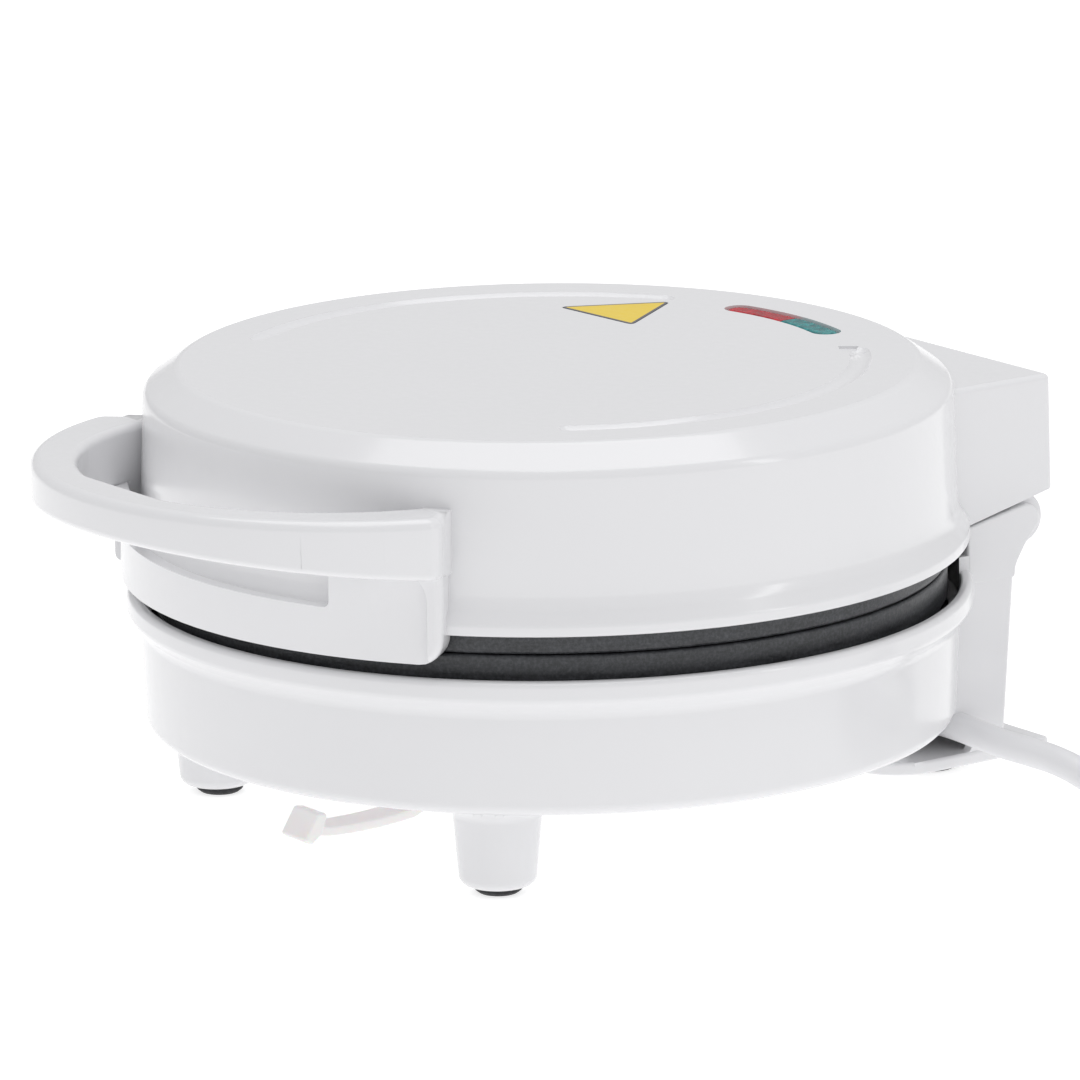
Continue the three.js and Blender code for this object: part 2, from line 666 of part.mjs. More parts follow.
// Raised panel on the lid's front with the loop handle above it.
function frontPanel() {
  const [start, end] = [270 - PANEL_HALF_ANGLE, 270 + PANEL_HALF_ANGLE];
  const boss = prism(slice(start, end, panelRadius), panelBottom, handleTop, 9);
  const sector = prism(slice(start, end, 2 * panelRadius), handleBottom - 1, lidTop, 4);
  const plan = prism(circle(0, handleCentre, HANDLE_RADIUS), handleBottom - 1, lidTop, 24);
  const grip = sidePrism(handleSide(), -panelRadius, panelRadius).intersect(plan)
    .intersect(sector);
  const fingerPlan = circle(0, fingerCentre, FINGER_RADIUS);
  const fingers = prism(fingerPlan, handleBottom, lidTop, 20);
  const slotBottom = handleBottom - SLOT_HEIGHT;
  const pocketRadius = panelRadius - PANEL_RECESS - PANEL_SKIN;
  const pocket = prism(fingerPlan, slotBottom, handleBottom + 1, 20)
    .intersect(turned([
      [0, slotBottom - 1],
      [pocketRadius, slotBottom - 1],
      [pocketRadius, handleTop],
      [0, handleTop],
    ]));
  const slotPlan = slice(270 - SLOT_HALF_ANGLE, 270 + SLOT_HALF_ANGLE, 2 * panelRadius);
  const slot = prism(slotPlan, slotBottom, handleBottom + TOUCH, 8);
  const face = frontPrism(panelFace(), 2 * handleTip, 0);
  return boss.intersect(face).subtract(beforePanel()).subtract(slot)
    .subtract(pocket).add(grip).subtract(fingers);
}

// Side view of the handle: it rises and gets thinner towards its tip.
function handleSide() {
  const root = panelRadius * Math.cos(rad(PANEL_HALF_ANGLE));
  const tip = -handleTip + 1;
  return [
    [-lidFlatRadius / 2, handleBottom],
    [-lidFlatRadius / 2, handleTop],
    [-tip, handleTop + HANDLE_RISE],
    [-tip, handleBottom + HANDLE_LIFT],
    [-(root + tip) / 2, handleBottom + 0.42 * HANDLE_LIFT],
    [-root, handleBottom],
  ];
}

// Front view of the panel: round lower corners, and wider above the lid's lip.
function panelFace() {
  const half = panelRadius * Math.sin(rad(PANEL_HALF_ANGLE));
  const corner = PANEL_CORNER;
  const low = panelBottom + corner;
  return new THREE.Shape()
    .moveTo(-half - 9, handleTop + 1)
    .lineTo(-half - 9, lipBottom + 1)
    .lineTo(-half, lipBottom + 1)
    .lineTo(-half, low)
    .absarc(-half + corner, low, corner, Math.PI, 1.5 * Math.PI, false)
    .absarc(half - corner, low, corner, 1.5 * Math.PI, 2 * Math.PI, false)
    .lineTo(half, lipBottom + 1)
    .lineTo(half + 9, lipBottom + 1)
    .lineTo(half + 9, handleTop + 1);
}

// Everything in front of the panel below the handle.
function beforePanel() {
  return turned([
    [panelRadius - PANEL_RECESS, panelBottom - 2],
    [2 * panelRadius, panelBottom - 2],
    [2 * panelRadius, handleBottom],
    [panelRadius - PANEL_RECESS, handleBottom],
  ]);
}

// Hollow block behind the lid, open below, that covers the hinge.
function rearBlock() {
  const bevel = 1.5;
  const low = lipBottom - 2 * bevel;
  const outer = new THREE.ExtrudeGeometry(
    roundedPlan(BLOCK_HALF_WIDTH - bevel, BLOCK_FRONT, blockRear - bevel, 0, BLOCK_CORNER - bevel),
    {
      depth: blockTop - bevel - low,
      bevelEnabled: true,
      bevelSize: bevel,
      bevelThickness: bevel,
      bevelSegments: 2,
      curveSegments: 4,
    },
  );
  const body = solid(outer.translate(0, 0, low));
  const front = BLOCK_FRONT - 10;
  const inside = roundedPlan(blockInside, front, blockRear - WALL, 0, BLOCK_CORNER - WALL);
  const hollow = prism(inside, low - 3, blockTop - WALL, 4);
  const behind = blockRear + 9;
  const below = sidePrism(
    [
      [front, STAND_HEIGHT],
      [behind, STAND_HEIGHT],
      [behind, undersideAt(behind)],
      [front, undersideAt(front)],
    ],
    -2 * BLOCK_HALF_WIDTH,
    2 * BLOCK_HALF_WIDTH,
  );
  return body.subtract(hollow).subtract(below);
}

// Barrel between the two cheeks, with a web up to the block's rear wall.
function hingeBarrel() {
  const half = BARREL_HALF_LENGTH;
  const barrel = cylinderAlongX(BARREL_RADIUS, -half, half, hingeY, hingeZ, 24);
  const web = box(-half, half, hingeY - 3, blockRear - 1, hingeZ + 2, hingeZ + 8.5);
  const depth = PIN_LENGTH / 2 + 1;
  const right = cylinderAlongX(PIN_RADIUS + TOUCH, half - depth, half + 1, hingeY, hingeZ);
  return barrel.add(web).subtract(right).subtract(right.mirror([1, 0, 0]));
}

// Post that hangs from the lid's ceiling and takes a screw driven through the cooking plate.
function lidPost(x, y) {
  return cylinder(POST_RADIUS, x, y, upperPostLow, lidCeiling + 1);
}

// Lid shell, front panel, handle, rear block and hinge barrel, moulded as one piece.
function lidHousing() {
  const wallTop = lidTop - SHOULDER_DROP;
  const shell = turned([
    [0, lipBottom],
    [lipRadius, lipBottom],
    [lipRadius, lipBottom + 1.2],
    [lidRadius + 0.7, lipBottom + 4.4],
    [lidRadius, lipBottom + 8],
    [lidRadius - 1, wallTop - 1.4],
    [lidRadius - 1.6, wallTop],
    [lidFlatRadius + 1.4, lidTop - 0.6],
    [lidFlatRadius - 1.2, lidTop],
    [0, lidTop],
  ]);
  let body = shell.add(frontPanel()).add(rearBlock()).subtract(lidHollow()).add(hingeBarrel());
  for (const [x, y] of screwPlaces(outerScrewCircle)) {
    const bore = cylinder(boreRadius, x, y, upperPostLow - 1, upperPostLow + OUTER_SCREW_LENGTH);
    body = body.add(lidPost(x, y)).subtract(bore);
  }
  for (const side of [-1, 1]) {
    const ends = [90 + side * GROOVE_START, 90 + side * GROOVE_END].sort((a, b) => a - b);
    const groove = arcSlot(GROOVE_RADIUS, GROOVE_HALF_WIDTH, ...ends);
    body = body.subtract(prism(groove, lidTop - GROOVE_DEPTH, lidTop + 1, 6));
  }
  const recessFloor = lidTop + LABEL_PROUD - LABEL_THICKNESS - TOUCH;
  const recess = prism(labelPlan(LABEL_RADIUS + 2 * TOUCH), recessFloor, lidTop + 1);
  const window = prism(windowPlan(WINDOW_HALF_WIDTH), lidCeiling - 1, lidTop + 1, 5);
  return body.subtract(recess).subtract(window);
}

// Plan of the label; a corner moves out twice as far as a side.
function labelPlan(radius) {
  const corners = [0, 120, 240].map((turn) => {
    const angle = rad(LABEL_TURN + turn);
    return new THREE.Vector2(LABEL_X + radius * Math.cos(angle), LABEL_Y + radius * Math.sin(angle));
  });
  return new THREE.Shape(corners);
}

function label() {
  const top = lidTop + LABEL_PROUD;
  return prism(labelPlan(LABEL_RADIUS), top - LABEL_THICKNESS, top);
}

function windowPlan(halfWidth) {
  return arcSlot(WINDOW_RADIUS, halfWidth, 90 - WINDOW_HALF_ANGLE, 90 + WINDOW_HALF_ANGLE);
}

// One coloured half of the indicator window; side -1 is the left half.
function lens(side) {
  const pane = prism(windowPlan(WINDOW_HALF_WIDTH - TOUCH), lensBottom, lidTop - 0.4, 5);
  const far = 2 * WINDOW_RADIUS;
  const half = box(TOUCH / 2, far, 0, far, lensBottom - 1, lidTop + 1);
  return pane.intersect(side > 0 ? half : half.mirror([1, 0, 0]));
}

// Small neon lamp under one half of the window.
function lamp(side) {
  const angle = rad(90 - side * WINDOW_HALF_ANGLE * 0.5);
  const [x, y] = [WINDOW_RADIUS * Math.cos(angle), WINDOW_RADIUS * Math.sin(angle)];
  return turned([
    [0, lampTop - LAMP_LENGTH],
    [LAMP_RADIUS, lampTop - LAMP_LENGTH],
    [LAMP_RADIUS, lampTop - 2],
    [LAMP_RADIUS - 1.4, lampTop - 0.4],
    [0, lampTop],
  ], 12).translate(x, y, 0);
}

function lampHolder() {
  const top = lampTop - LAMP_LENGTH - TOUCH;
  return prism(windowPlan(2 * LAMP_RADIUS), top - 2, top, 5);
}

// ---------------------------------------------------------------- mains cord

// Free cord from inside the tower to the near side of the coil, from the cord's exit.
const cordStart = glandRight + CORD_TAIL_IN - exitX;
const cordRoute = [
  [cordStart, 0, 0],
  [cordStart / 2, 0, 0],
  [0, 0, 0],
  [8, 0.5, -0.6],
  [15, 1.1, -1.2],
  [23, 2.6, -1.7],
  [31, 4.9, -2.8],
  [40, 6.7, -5.2],
  [49.5, 7.7, -8.6],
].map(([x, y, z]) => [exitX + x, exitY + y, exitZ + z]);

// Last stretch, from the top of the coil to the plug, from the coil's centre and the plug's axis.
const tailRoute = [
  [36.4, -12.5, 0.3],
  [39.4, -4.2, 0.3],
  [42.4, 4.4, 0.2],
  [45, 13.3, 0.1],
  [46.7, 22.3, 0],
  [47, 31, 0],
].map(([x, y, z]) => [coilCentre[0] + x, coilCentre[1] + y, PLUG_RADIUS + z]);

// Ring that stands for the turns of the coiled cord.
function cordCoil() {
  const high = COIL_LAYERS * (2 * CORD_RADIUS + TOUCH) + TOUCH;
  const half = CORD_RADIUS + TOUCH;
  return turned([
    [COIL_RADIUS - half + 1, 0],
    [COIL_RADIUS + half - 1, 0],
    [COIL_RADIUS + half, 1],
    [COIL_RADIUS + half, high - 1],
    [COIL_RADIUS + half - 1, high],
    [COIL_RADIUS - half + 1, high],
    [COIL_RADIUS - half, high - 1],
    [COIL_RADIUS - half, 1],
  ], 32).translate(...coilCentre, 0);
}

// Plastic clip pushed down over the coil.
function cordTie() {
  const high = COIL_LAYERS * (2 * CORD_RADIUS + TOUCH) + 2 * TOUCH;
  const inside = CORD_RADIUS + 3 * TOUCH;
  const outside = inside + 1.4;
  const clip = box(-outside, outside, -3.5, 3.5, 0.4, high + 1.4)
    .subtract(box(-inside, inside, -4.5, 4.5, -1, high));
  return clip.translate(COIL_RADIUS, 0, 0).rotate([0, 0, TIE_ANGLE]).translate(...coilCentre, 0);
}

// Tapered sleeve that grips the cord, with a neck that passes up through the bowl's floor.
function cordGland() {
  const [x0, x1, y0, y1] = glandNeck(0);
  const neck = box(x0, x1, y0, y1, exitZ - GLAND_HALF_WIDTH, floorTop + 3);
  const far = exitX - SLEEVE_INSET;
  const geometry = new THREE.CylinderGeometry(4.9, GLAND_HALF_WIDTH, far - x1 + 1, 16);
  geometry.rotateZ(-Math.PI / 2).translate((x1 - 1 + far) / 2, exitY, exitZ);
  const room = box(x0, far, y0, y1, 0, STAND_HEIGHT - TOUCH);
  const sleeve = solid(geometry).intersect(room);
  const start = cordRoute[0][0] - TOUCH;
  const bore = cylinderAlongX(CORD_RADIUS + TOUCH, start, far + 1, exitY, exitZ);
  return neck.add(sleeve).subtract(bore);
}

// Round two-pin plug with a flexible tail, standing on its cord end.
function plugBody() {
  const profile = [
    [0, 0],
    [5, 0],
    [6.5, 12],
    [9, 16],
    [15, 20],
    [PLUG_RADIUS, 24],
    [PLUG_RADIUS, PLUG_LENGTH - 1.5],
    [PLUG_RADIUS - 1.5, PLUG_LENGTH],
    [0, PLUG_LENGTH],
  ];
  const x = PLUG_PIN_SPACING / 2;
  const bore = PLUG_PIN_RADIUS + TOUCH;
  const hole = cylinder(bore, x, 0, plugPinRoot, PLUG_LENGTH + 1, 12);
  return layPlug(turned(profile, 24).subtract(hole).subtract(hole.mirror([1, 0, 0])));
}

function plugPin(side) {
  const pin = turned([
    [0, plugPinRoot + TOUCH],
    [PLUG_PIN_RADIUS, plugPinRoot + TOUCH],
    [PLUG_PIN_RADIUS, PLUG_LENGTH + PLUG_PIN_LENGTH - 1.5],
    [1.2, PLUG_LENGTH + PLUG_PIN_LENGTH],
    [0, PLUG_LENGTH + PLUG_PIN_LENGTH],
  ], 12);
  return layPlug(pin.translate((side * PLUG_PIN_SPACING) / 2, 0, 0));
}

// Lays a plug piece on the table at the end of the cord, pins pointing away from it.
function layPlug(piece) {
  const [x, y, z] = tailRoute.at(-1);
  return piece.rotate([-90, 0, 0]).translate(x, y + 2 * TOUCH, z);
}

// ---------------------------------------------------------------- assembly

const object = new THREE.Group();
object.position.y = -boxCentreY;

const plastic = { color: 0xf2f2f3, roughness: 0.22, metalness: 0 };
const finishes = {
  plastic,
  nonStick: { color: 0x2b2c2e, roughness: 0.55, metalness: 0.3 },
  steel: { color: 0xb8babd, roughness: 0.3, metalness: 1 },
  sheet: { color: 0xc9cbce, roughness: 0.4, metalness: 1 },
  rubber: { color: 0x17171a, roughness: 0.8, metalness: 0 },
  ceramic: { color: 0xe6e0d2, roughness: 0.6, metalness: 0 },
  translucent: { color: 0xdfe2e4, roughness: 0.4, metalness: 0 },
  cord: { color: 0xe8e8ea, roughness: 0.5, metalness: 0 },
  red: { color: 0xb5142a, roughness: 0.15, metalness: 0 },
  green: { color: 0x1f8a8c, roughness: 0.15, metalness: 0 },
  label: { color: 0xf0cf45, roughness: 0.4, metalness: 0 },
};

function add(name, piece, finish) {
  const { vertProperties, triVerts } = piece.getMesh();
  const geometry = new THREE.BufferGeometry();
  geometry.setAttribute("position", new THREE.BufferAttribute(vertProperties, 3));
  geometry.setIndex(new THREE.BufferAttribute(triVerts, 1));
  geometry.computeVertexNormals();
  const mesh = new THREE.Mesh(geometry, new THREE.MeshStandardMaterial(finishes[finish]));
  mesh.name = name;
  object.add(mesh);
}

function eachScrew(radius, visit) {
  screwPlaces(radius).forEach(([x, y], i) => visit(i + 1, x, y));
}

// A heated unit is drawn with its plate's working face at height zero and its back upwards.
const lowered = (piece) => piece.rotate([180, 0, 0]).translate(0, 0, lowerFace);
const raised = (piece) => piece.translate(0, 0, upperFace);

// Base
add("base_housing", baseHousing(), "plastic");
add("lower_plate", lowered(cookingPlate(false).mirror([0, 1, 0])), "nonStick");
add("lower_heating_element", lowered(heatingElement().mirror([0, 1, 0])), "steel");
add("lower_reflector", lowered(reflector().mirror([0, 1, 0])), "sheet");
eachScrew(innerScrewCircle, (number, x, y) => {
  const shank = screw(INNER_SCREW_LENGTH - 2).rotate([180, 0, 0]);
  const seat = reflectorGap + REFLECTOR_THICKNESS + TOUCH;
  add(`lower_reflector_screw_${number}`, lowered(shank.translate(x, -y, seat)), "steel");
});
eachScrew(outerScrewCircle, (number, x, y) => {
  const shank = screw(OUTER_SCREW_LENGTH - 2).translate(x, y, lowerScrewSeat - TOUCH);
  add(`base_screw_${number}`, shank, "steel");
});

const thermostatTop = lowerFace - podDepth - TOUCH;
const thermostatFloor = lowerFace - reflectorGap + TOUCH;
const thermostat = cylinder(THERMOSTAT_RADIUS, 0, 0, thermostatFloor, thermostatTop, 24);
add("thermostat", thermostat, "ceramic");
const [fuseEnd, fuseZ] = [FUSE_HALF_LENGTH, thermostatFloor + FUSE_RADIUS + TOUCH];
add("thermal_fuse", cylinderAlongX(FUSE_RADIUS, -fuseEnd, fuseEnd, 20, fuseZ, 12), "steel");
const terminals = box(-14, 14, exitY - 19, exitY - 7, floorTop + TOUCH, floorTop + 9);
add("terminal_block", terminals, "ceramic");

for (const [side, word] of [[-1, "left"], [1, "right"]]) {
  const frontPad = cylinder(PAD_RADIUS, ...footPlace(side), 0, FOOT_CLEAR + 2);
  add(`front_foot_pad_${word}`, frontPad, "rubber");
  const [padX, padY] = [side * REAR_PAD_X, shelfRear - REAR_PAD_INSET];
  const rearPad = cylinder(REAR_PAD_RADIUS, padX, padY, 0, SHELF_BOTTOM - TOUCH);
  add(`rear_foot_pad_${word}`, rearPad, "rubber");
  const inner = cheekInside - TOUCH - PIN_LENGTH / 2;
  const pin = cylinderAlongX(PIN_RADIUS, inner, inner + PIN_LENGTH - 1, hingeY, hingeZ, 16);
  add(`hinge_pin_${word}`, side > 0 ? pin : pin.mirror([1, 0, 0]), "steel");
}
add("cord_hook", cordHook(), "translucent");

// Lid
add("lid_housing", lidHousing(), "plastic");
add("upper_plate", raised(cookingPlate(true)), "nonStick");
add("upper_heating_element", raised(heatingElement()), "steel");
add("upper_reflector", raised(reflector()), "sheet");
eachScrew(innerScrewCircle, (number, x, y) => {
  const shank = screw(INNER_SCREW_LENGTH - 2).rotate([180, 0, 0]);
  const seat = reflectorGap + REFLECTOR_THICKNESS + TOUCH;
  add(`upper_reflector_screw_${number}`, raised(shank.translate(x, y, seat)), "steel");
});
eachScrew(outerScrewCircle, (number, x, y) => {
  const shank = screw(OUTER_SCREW_LENGTH - 2).translate(x, y, HEAD_HEIGHT + TOUCH);
  add(`upper_plate_screw_${number}`, raised(shank), "steel");
});
add("red_lens", lens(-1), "red");
add("green_lens", lens(1), "green");
add("red_lamp", lamp(-1), "translucent");
add("green_lamp", lamp(1), "translucent");
add("lamp_holder", lampHolder(), "ceramic");
add("top_label", label(), "label");

// Mains cord
add("cord_gland", cordGland(), "cord");
add("power_cord", swept(cordRoute, CORD_RADIUS, CORD_SIDES, 8), "cord");
add("cord_coil", cordCoil(), "cord");
add("cord_tail", swept(tailRoute, CORD_RADIUS, CORD_SIDES, 4), "cord");
add("cord_tie", cordTie(), "translucent");
add("plug_body", plugBody(), "plastic");
add("plug_pin_left", plugPin(-1), "steel");
add("plug_pin_right", plugPin(1), "steel");

export default object;
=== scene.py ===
# %% [markdown]
# # A round cake maker with a hinged lid
# This notebook dresses a working model of a small kitchen appliance that bakes seven ring cakes.
# The working model holds every size and every joint. Each moulding is made again here with smooth
# round edges, and each surface gets its finish.
# All shapes are drawn in millimetres around the upright axis of the two cooking plates, with the
# handle towards -Y, and a single helper places them in the frame in metres.

# %% Load the working model
import math

import bmesh
import bpy
from mathutils import Matrix, Vector


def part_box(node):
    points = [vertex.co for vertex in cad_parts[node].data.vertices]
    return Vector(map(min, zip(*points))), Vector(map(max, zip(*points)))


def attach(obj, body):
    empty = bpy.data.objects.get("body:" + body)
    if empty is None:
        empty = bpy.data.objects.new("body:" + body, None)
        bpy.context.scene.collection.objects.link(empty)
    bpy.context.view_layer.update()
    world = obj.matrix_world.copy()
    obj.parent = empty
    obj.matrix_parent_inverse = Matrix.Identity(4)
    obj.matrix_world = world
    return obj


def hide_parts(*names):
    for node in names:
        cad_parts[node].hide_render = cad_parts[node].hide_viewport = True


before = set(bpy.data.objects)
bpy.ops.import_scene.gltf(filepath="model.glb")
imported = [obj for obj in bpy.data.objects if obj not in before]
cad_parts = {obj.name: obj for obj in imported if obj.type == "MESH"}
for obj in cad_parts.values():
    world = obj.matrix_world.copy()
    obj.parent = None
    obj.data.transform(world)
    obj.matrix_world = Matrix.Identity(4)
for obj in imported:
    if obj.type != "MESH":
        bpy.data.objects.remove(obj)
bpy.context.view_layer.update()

MM = 0.001
plate_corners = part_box("upper_plate")
AXIS = Vector((0, (plate_corners[0].y + plate_corners[1].y) / 2, 0))
print("plate axis", [round(part, 5) for part in AXIS])


# %% [markdown]
# ## Measures
# A designer takes the sizes of a cover from the part that it covers. The boxes of the working
# model's nodes give the plates, the lid's height and the cord; the rest are the mouldings' own
# sizes, written once.

# %% Measures in millimetres
def box_mm(node):
    return [(corner - AXIS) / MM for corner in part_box(node)]


PLATE_R = box_mm("upper_plate")[1].x
UPPER_FACE = box_mm("upper_plate")[0].z
LOWER_FACE = box_mm("lower_plate")[1].z
LID_TOP = box_mm("lid_housing")[1].z
HOOK_TOP = box_mm("cord_hook")[1].z
PARTING = (UPPER_FACE + LOWER_FACE) / 2
TOUCH = 0.3
WALL = 2.5
STAND = HOOK_TOP + TOUCH
FLOOR = STAND + WALL
BOWL_R = PLATE_R + 2.9
BOWL_FOOT_R = BOWL_R - 0.9
RIM_BORE = PLATE_R + 3
RIM_R = RIM_BORE + 3.2
RIM_TOP = PARTING - 5
RIM_LOW = RIM_TOP - 8.2
LID_R = PLATE_R + 2.4
LIP_R = PLATE_R + 5.3
LIP_LOW = PARTING + 5.3
FLAT_R = PLATE_R - 6.7
SHOULDER_DROP = 5.6
HINGE_Y = PLATE_R + 6.9
HINGE_Z = PARTING + 4.3
SCREW_ANGLES = (30, 150, 270)
OUTER_SCREWS = PLATE_R - 13.6
print("plate radius", round(PLATE_R, 2), "lid top", round(LID_TOP, 2), "stand", round(STAND, 2))

# %% [markdown]
# ## Camera
# A product picture is taken from far away with a long lens, so that circles stay calm ellipses.
# The camera looks at the object from its right-hand front, a little above the lid, and it is
# rolled by half a degree.

# %% Camera
AZIMUTH = math.radians(53.75)
ELEVATION = math.radians(13.53)
ROLL = math.radians(-0.573)
DISTANCE = 2.112
toward = Vector((
    math.sin(AZIMUTH) * math.cos(ELEVATION),
    -math.cos(AZIMUTH) * math.cos(ELEVATION),
    math.sin(ELEVATION),
))
level = Vector((math.cos(AZIMUTH), math.sin(AZIMUTH), 0))
upright = toward.cross(level)
right = level * math.cos(ROLL) + upright * math.sin(ROLL)
above = upright * math.cos(ROLL) - level * math.sin(ROLL)
target = AXIS + Vector((0, 0, 0.0634))
camera_data = bpy.data.cameras.new("camera")
camera_data.lens = 299.2
camera_data.sensor_width = 36
camera_data.shift_x = -0.0089
camera = bpy.data.objects.new("camera", camera_data)
pose = Matrix((right, above, toward)).transposed().to_4x4()
pose.translation = target + toward * DISTANCE
camera.matrix_world = pose
bpy.context.scene.collection.objects.link(camera)
bpy.context.scene.camera = camera
print("camera stands at", [round(part, 3) for part in pose.translation])

# %% [markdown]
# ## Effects that several finishes share
# Real surfaces are never quite even. Three small node groups give the unevenness: the slow waves of
# a moulding, a fine grain, and hairline scratches. They read object coordinates, so they stay in
# place when the lid turns, and they put out only colours, values and heights. Each finish keeps its
# own shader.


# %% Helpers for node groups and finishes
def new_group(name, inputs, outputs):
    group = bpy.data.node_groups.new(name, "ShaderNodeTree")
    for label, kind, value in inputs:
        socket = group.interface.new_socket(label, in_out="INPUT", socket_type=kind)
        socket.default_value = value
    for label, kind in outputs:
        group.interface.new_socket(label, in_out="OUTPUT", socket_type=kind)
    return group, group.nodes.new("NodeGroupInput"), group.nodes.new("NodeGroupOutput")


def noise(tree, detail, roughness=0.5):
    node = tree.nodes.new("ShaderNodeTexNoise")
    node.inputs["Detail"].default_value = detail
    node.inputs["Roughness"].default_value = roughness
    return node


def remap(tree, value, low, high):
    """Map a noise value's useful middle range to low..high; low and high may be sockets."""
    node = tree.nodes.new("ShaderNodeMapRange")
    node.inputs["From Min"].default_value = 0.3
    node.inputs["From Max"].default_value = 0.7
    for label, bound in (("To Min", low), ("To Max", high)):
        if isinstance(bound, (int, float)):
            node.inputs[label].default_value = bound
        else:
            tree.links.new(bound, node.inputs[label])
    tree.links.new(value, node.inputs["Value"])
    return node.outputs["Result"]


def blend_colours(tree, factor, first, second):
    node = tree.nodes.new("ShaderNodeMix")
    node.data_type = "RGBA"
    for label, colour in (("A", first), ("B", second)):
        socket = next(s for s in node.inputs if s.name == label and s.type == "RGBA")
        tree.links.new(colour, socket)
    tree.links.new(factor, next(s for s in node.inputs if s.name == "Factor" and s.type == "VALUE"))
    return next(s for s in node.outputs if s.type == "RGBA")


# %% The slow waves of a moulding
moulded, given, result = new_group(
    "moulded_skin",
    [
        ("Colour", "NodeSocketColor", (0.8, 0.8, 0.8, 1)),
        ("Shade", "NodeSocketColor", (0.7, 0.7, 0.7, 1)),
        ("Gloss", "NodeSocketFloat", 0.2),
        ("Matt", "NodeSocketFloat", 0.3),
        ("Scale", "NodeSocketFloat", 20.0),
    ],
    [("Colour", "NodeSocketColor"), ("Roughness", "NodeSocketFloat"), ("Height", "NodeSocketFloat")],
)
place = moulded.nodes.new("ShaderNodeTexCoord").outputs["Object"]
slow = noise(moulded, 2)
fine = noise(moulded, 5, 0.6)
fine.inputs["Scale"].default_value = 420
moulded.links.new(place, slow.inputs["Vector"])
moulded.links.new(given.outputs["Scale"], slow.inputs["Scale"])
moulded.links.new(place, fine.inputs["Vector"])
tint = blend_colours(moulded, slow.outputs["Fac"], given.outputs["Colour"], given.outputs["Shade"])
moulded.links.new(tint, result.inputs["Colour"])
sheen = remap(moulded, fine.outputs["Fac"], given.outputs["Gloss"], given.outputs["Matt"])
moulded.links.new(sheen, result.inputs["Roughness"])
moulded.links.new(slow.outputs["Fac"], result.inputs["Height"])

# %% A fine grain, and light flecks in it
grain, given, result = new_group(
    "fine_grain",
    [("Scale", "NodeSocketFloat", 1500.0), ("Flecks", "NodeSocketFloat", 0.5)],
    [("Mask", "NodeSocketFloat"), ("Height", "NodeSocketFloat")],
)
place = grain.nodes.new("ShaderNodeTexCoord").outputs["Object"]
specks = noise(grain, 3, 0.7)
grain.links.new(place, specks.inputs["Vector"])
grain.links.new(given.outputs["Scale"], specks.inputs["Scale"])
mask = grain.nodes.new("ShaderNodeMath")
mask.operation = "MULTIPLY"
mask.use_clamp = True
grain.links.new(remap(grain, specks.outputs["Fac"], -0.6, 1.4), mask.inputs[0])
grain.links.new(given.outputs["Flecks"], mask.inputs[1])
grain.links.new(mask.outputs[0], result.inputs["Mask"])
grain.links.new(specks.outputs["Fac"], result.inputs["Height"])

# %% Hairline scratches, long in one direction
hairlines, given, result = new_group(
    "hairlines",
    [("Scale", "NodeSocketFloat", 30.0), ("Stretch", "NodeSocketVector", (1.0, 12.0, 30.0))],
    [("Mask", "NodeSocketFloat"), ("Height", "NodeSocketFloat")],
)
place = hairlines.nodes.new("ShaderNodeTexCoord").outputs["Object"]
spread = hairlines.nodes.new("ShaderNodeVectorMath")
spread.operation = "MULTIPLY"
hairlines.links.new(place, spread.inputs[0])
hairlines.links.new(given.outputs["Stretch"], spread.inputs[1])
streaks = noise(hairlines, 6, 0.75)
hairlines.links.new(spread.outputs[0], streaks.inputs["Vector"])
hairlines.links.new(given.outputs["Scale"], streaks.inputs["Scale"])
hairlines.links.new(remap(hairlines, streaks.outputs["Fac"], 0.0, 1.0), result.inputs["Mask"])
hairlines.links.new(streaks.outputs["Fac"], result.inputs["Height"])


# %% [markdown]
# ## Starting a finish
# Every finish below starts from the same shader node, with its fixed values set directly on the
# sockets. A bump node turns a group's height into small tilts of the surface.

# %% Helpers for a finish
def start_finish(name, colour, roughness, **fixed):
    material = bpy.data.materials.new(name)
    material.use_nodes = True
    shader = material.node_tree.nodes["Principled BSDF"]
    shader.inputs["Base Color"].default_value = (*colour, 1)
    shader.inputs["Roughness"].default_value = roughness
    for label, value in fixed.items():
        shader.inputs[label.replace("_", " ")].default_value = value
    return material, material.node_tree, shader


def place_group(tree, group, **values):
    node = tree.nodes.new("ShaderNodeGroup")
    node.node_tree = group
    for label, value in values.items():
        node.inputs[label].default_value = value
    return node


def bump(tree, shader, height, depth_mm, strength=1.0):
    node = tree.nodes.new("ShaderNodeBump")
    node.inputs["Strength"].default_value = strength
    node.inputs["Distance"].default_value = depth_mm * MM
    tree.links.new(height, node.inputs["Height"])
    tree.links.new(node.outputs["Normal"], shader.inputs["Normal"])


def two_tone(tree, shader, mask, dark, light):
    """Base colour from dark to light by a mask."""
    ramp = tree.nodes.new("ShaderNodeValToRGB")
    ramp.color_ramp.elements[0].color = (*dark, 1)
    ramp.color_ramp.elements[1].color = (*light, 1)
    tree.links.new(mask, ramp.inputs["Fac"])
    tree.links.new(ramp.outputs["Color"], shader.inputs["Base Color"])


def moulded_finish(name, colour, shade, gloss, matt, scale, depth_mm, **fixed):
    material, tree, shader = start_finish(name, colour, gloss, **fixed)
    skin = place_group(tree, moulded, Colour=(*colour, 1), Shade=(*shade, 1),
                       Gloss=gloss, Matt=matt, Scale=scale)
    tree.links.new(skin.outputs["Colour"], shader.inputs["Base Color"])
    tree.links.new(skin.outputs["Roughness"], shader.inputs["Roughness"])
    bump(tree, shader, skin.outputs["Height"], depth_mm)
    return material


# %% [markdown]
# ## Cord jacket
# The jacket is a soft plastic, less shiny than the housing, with a very fine grain from the die
# that it was drawn through.

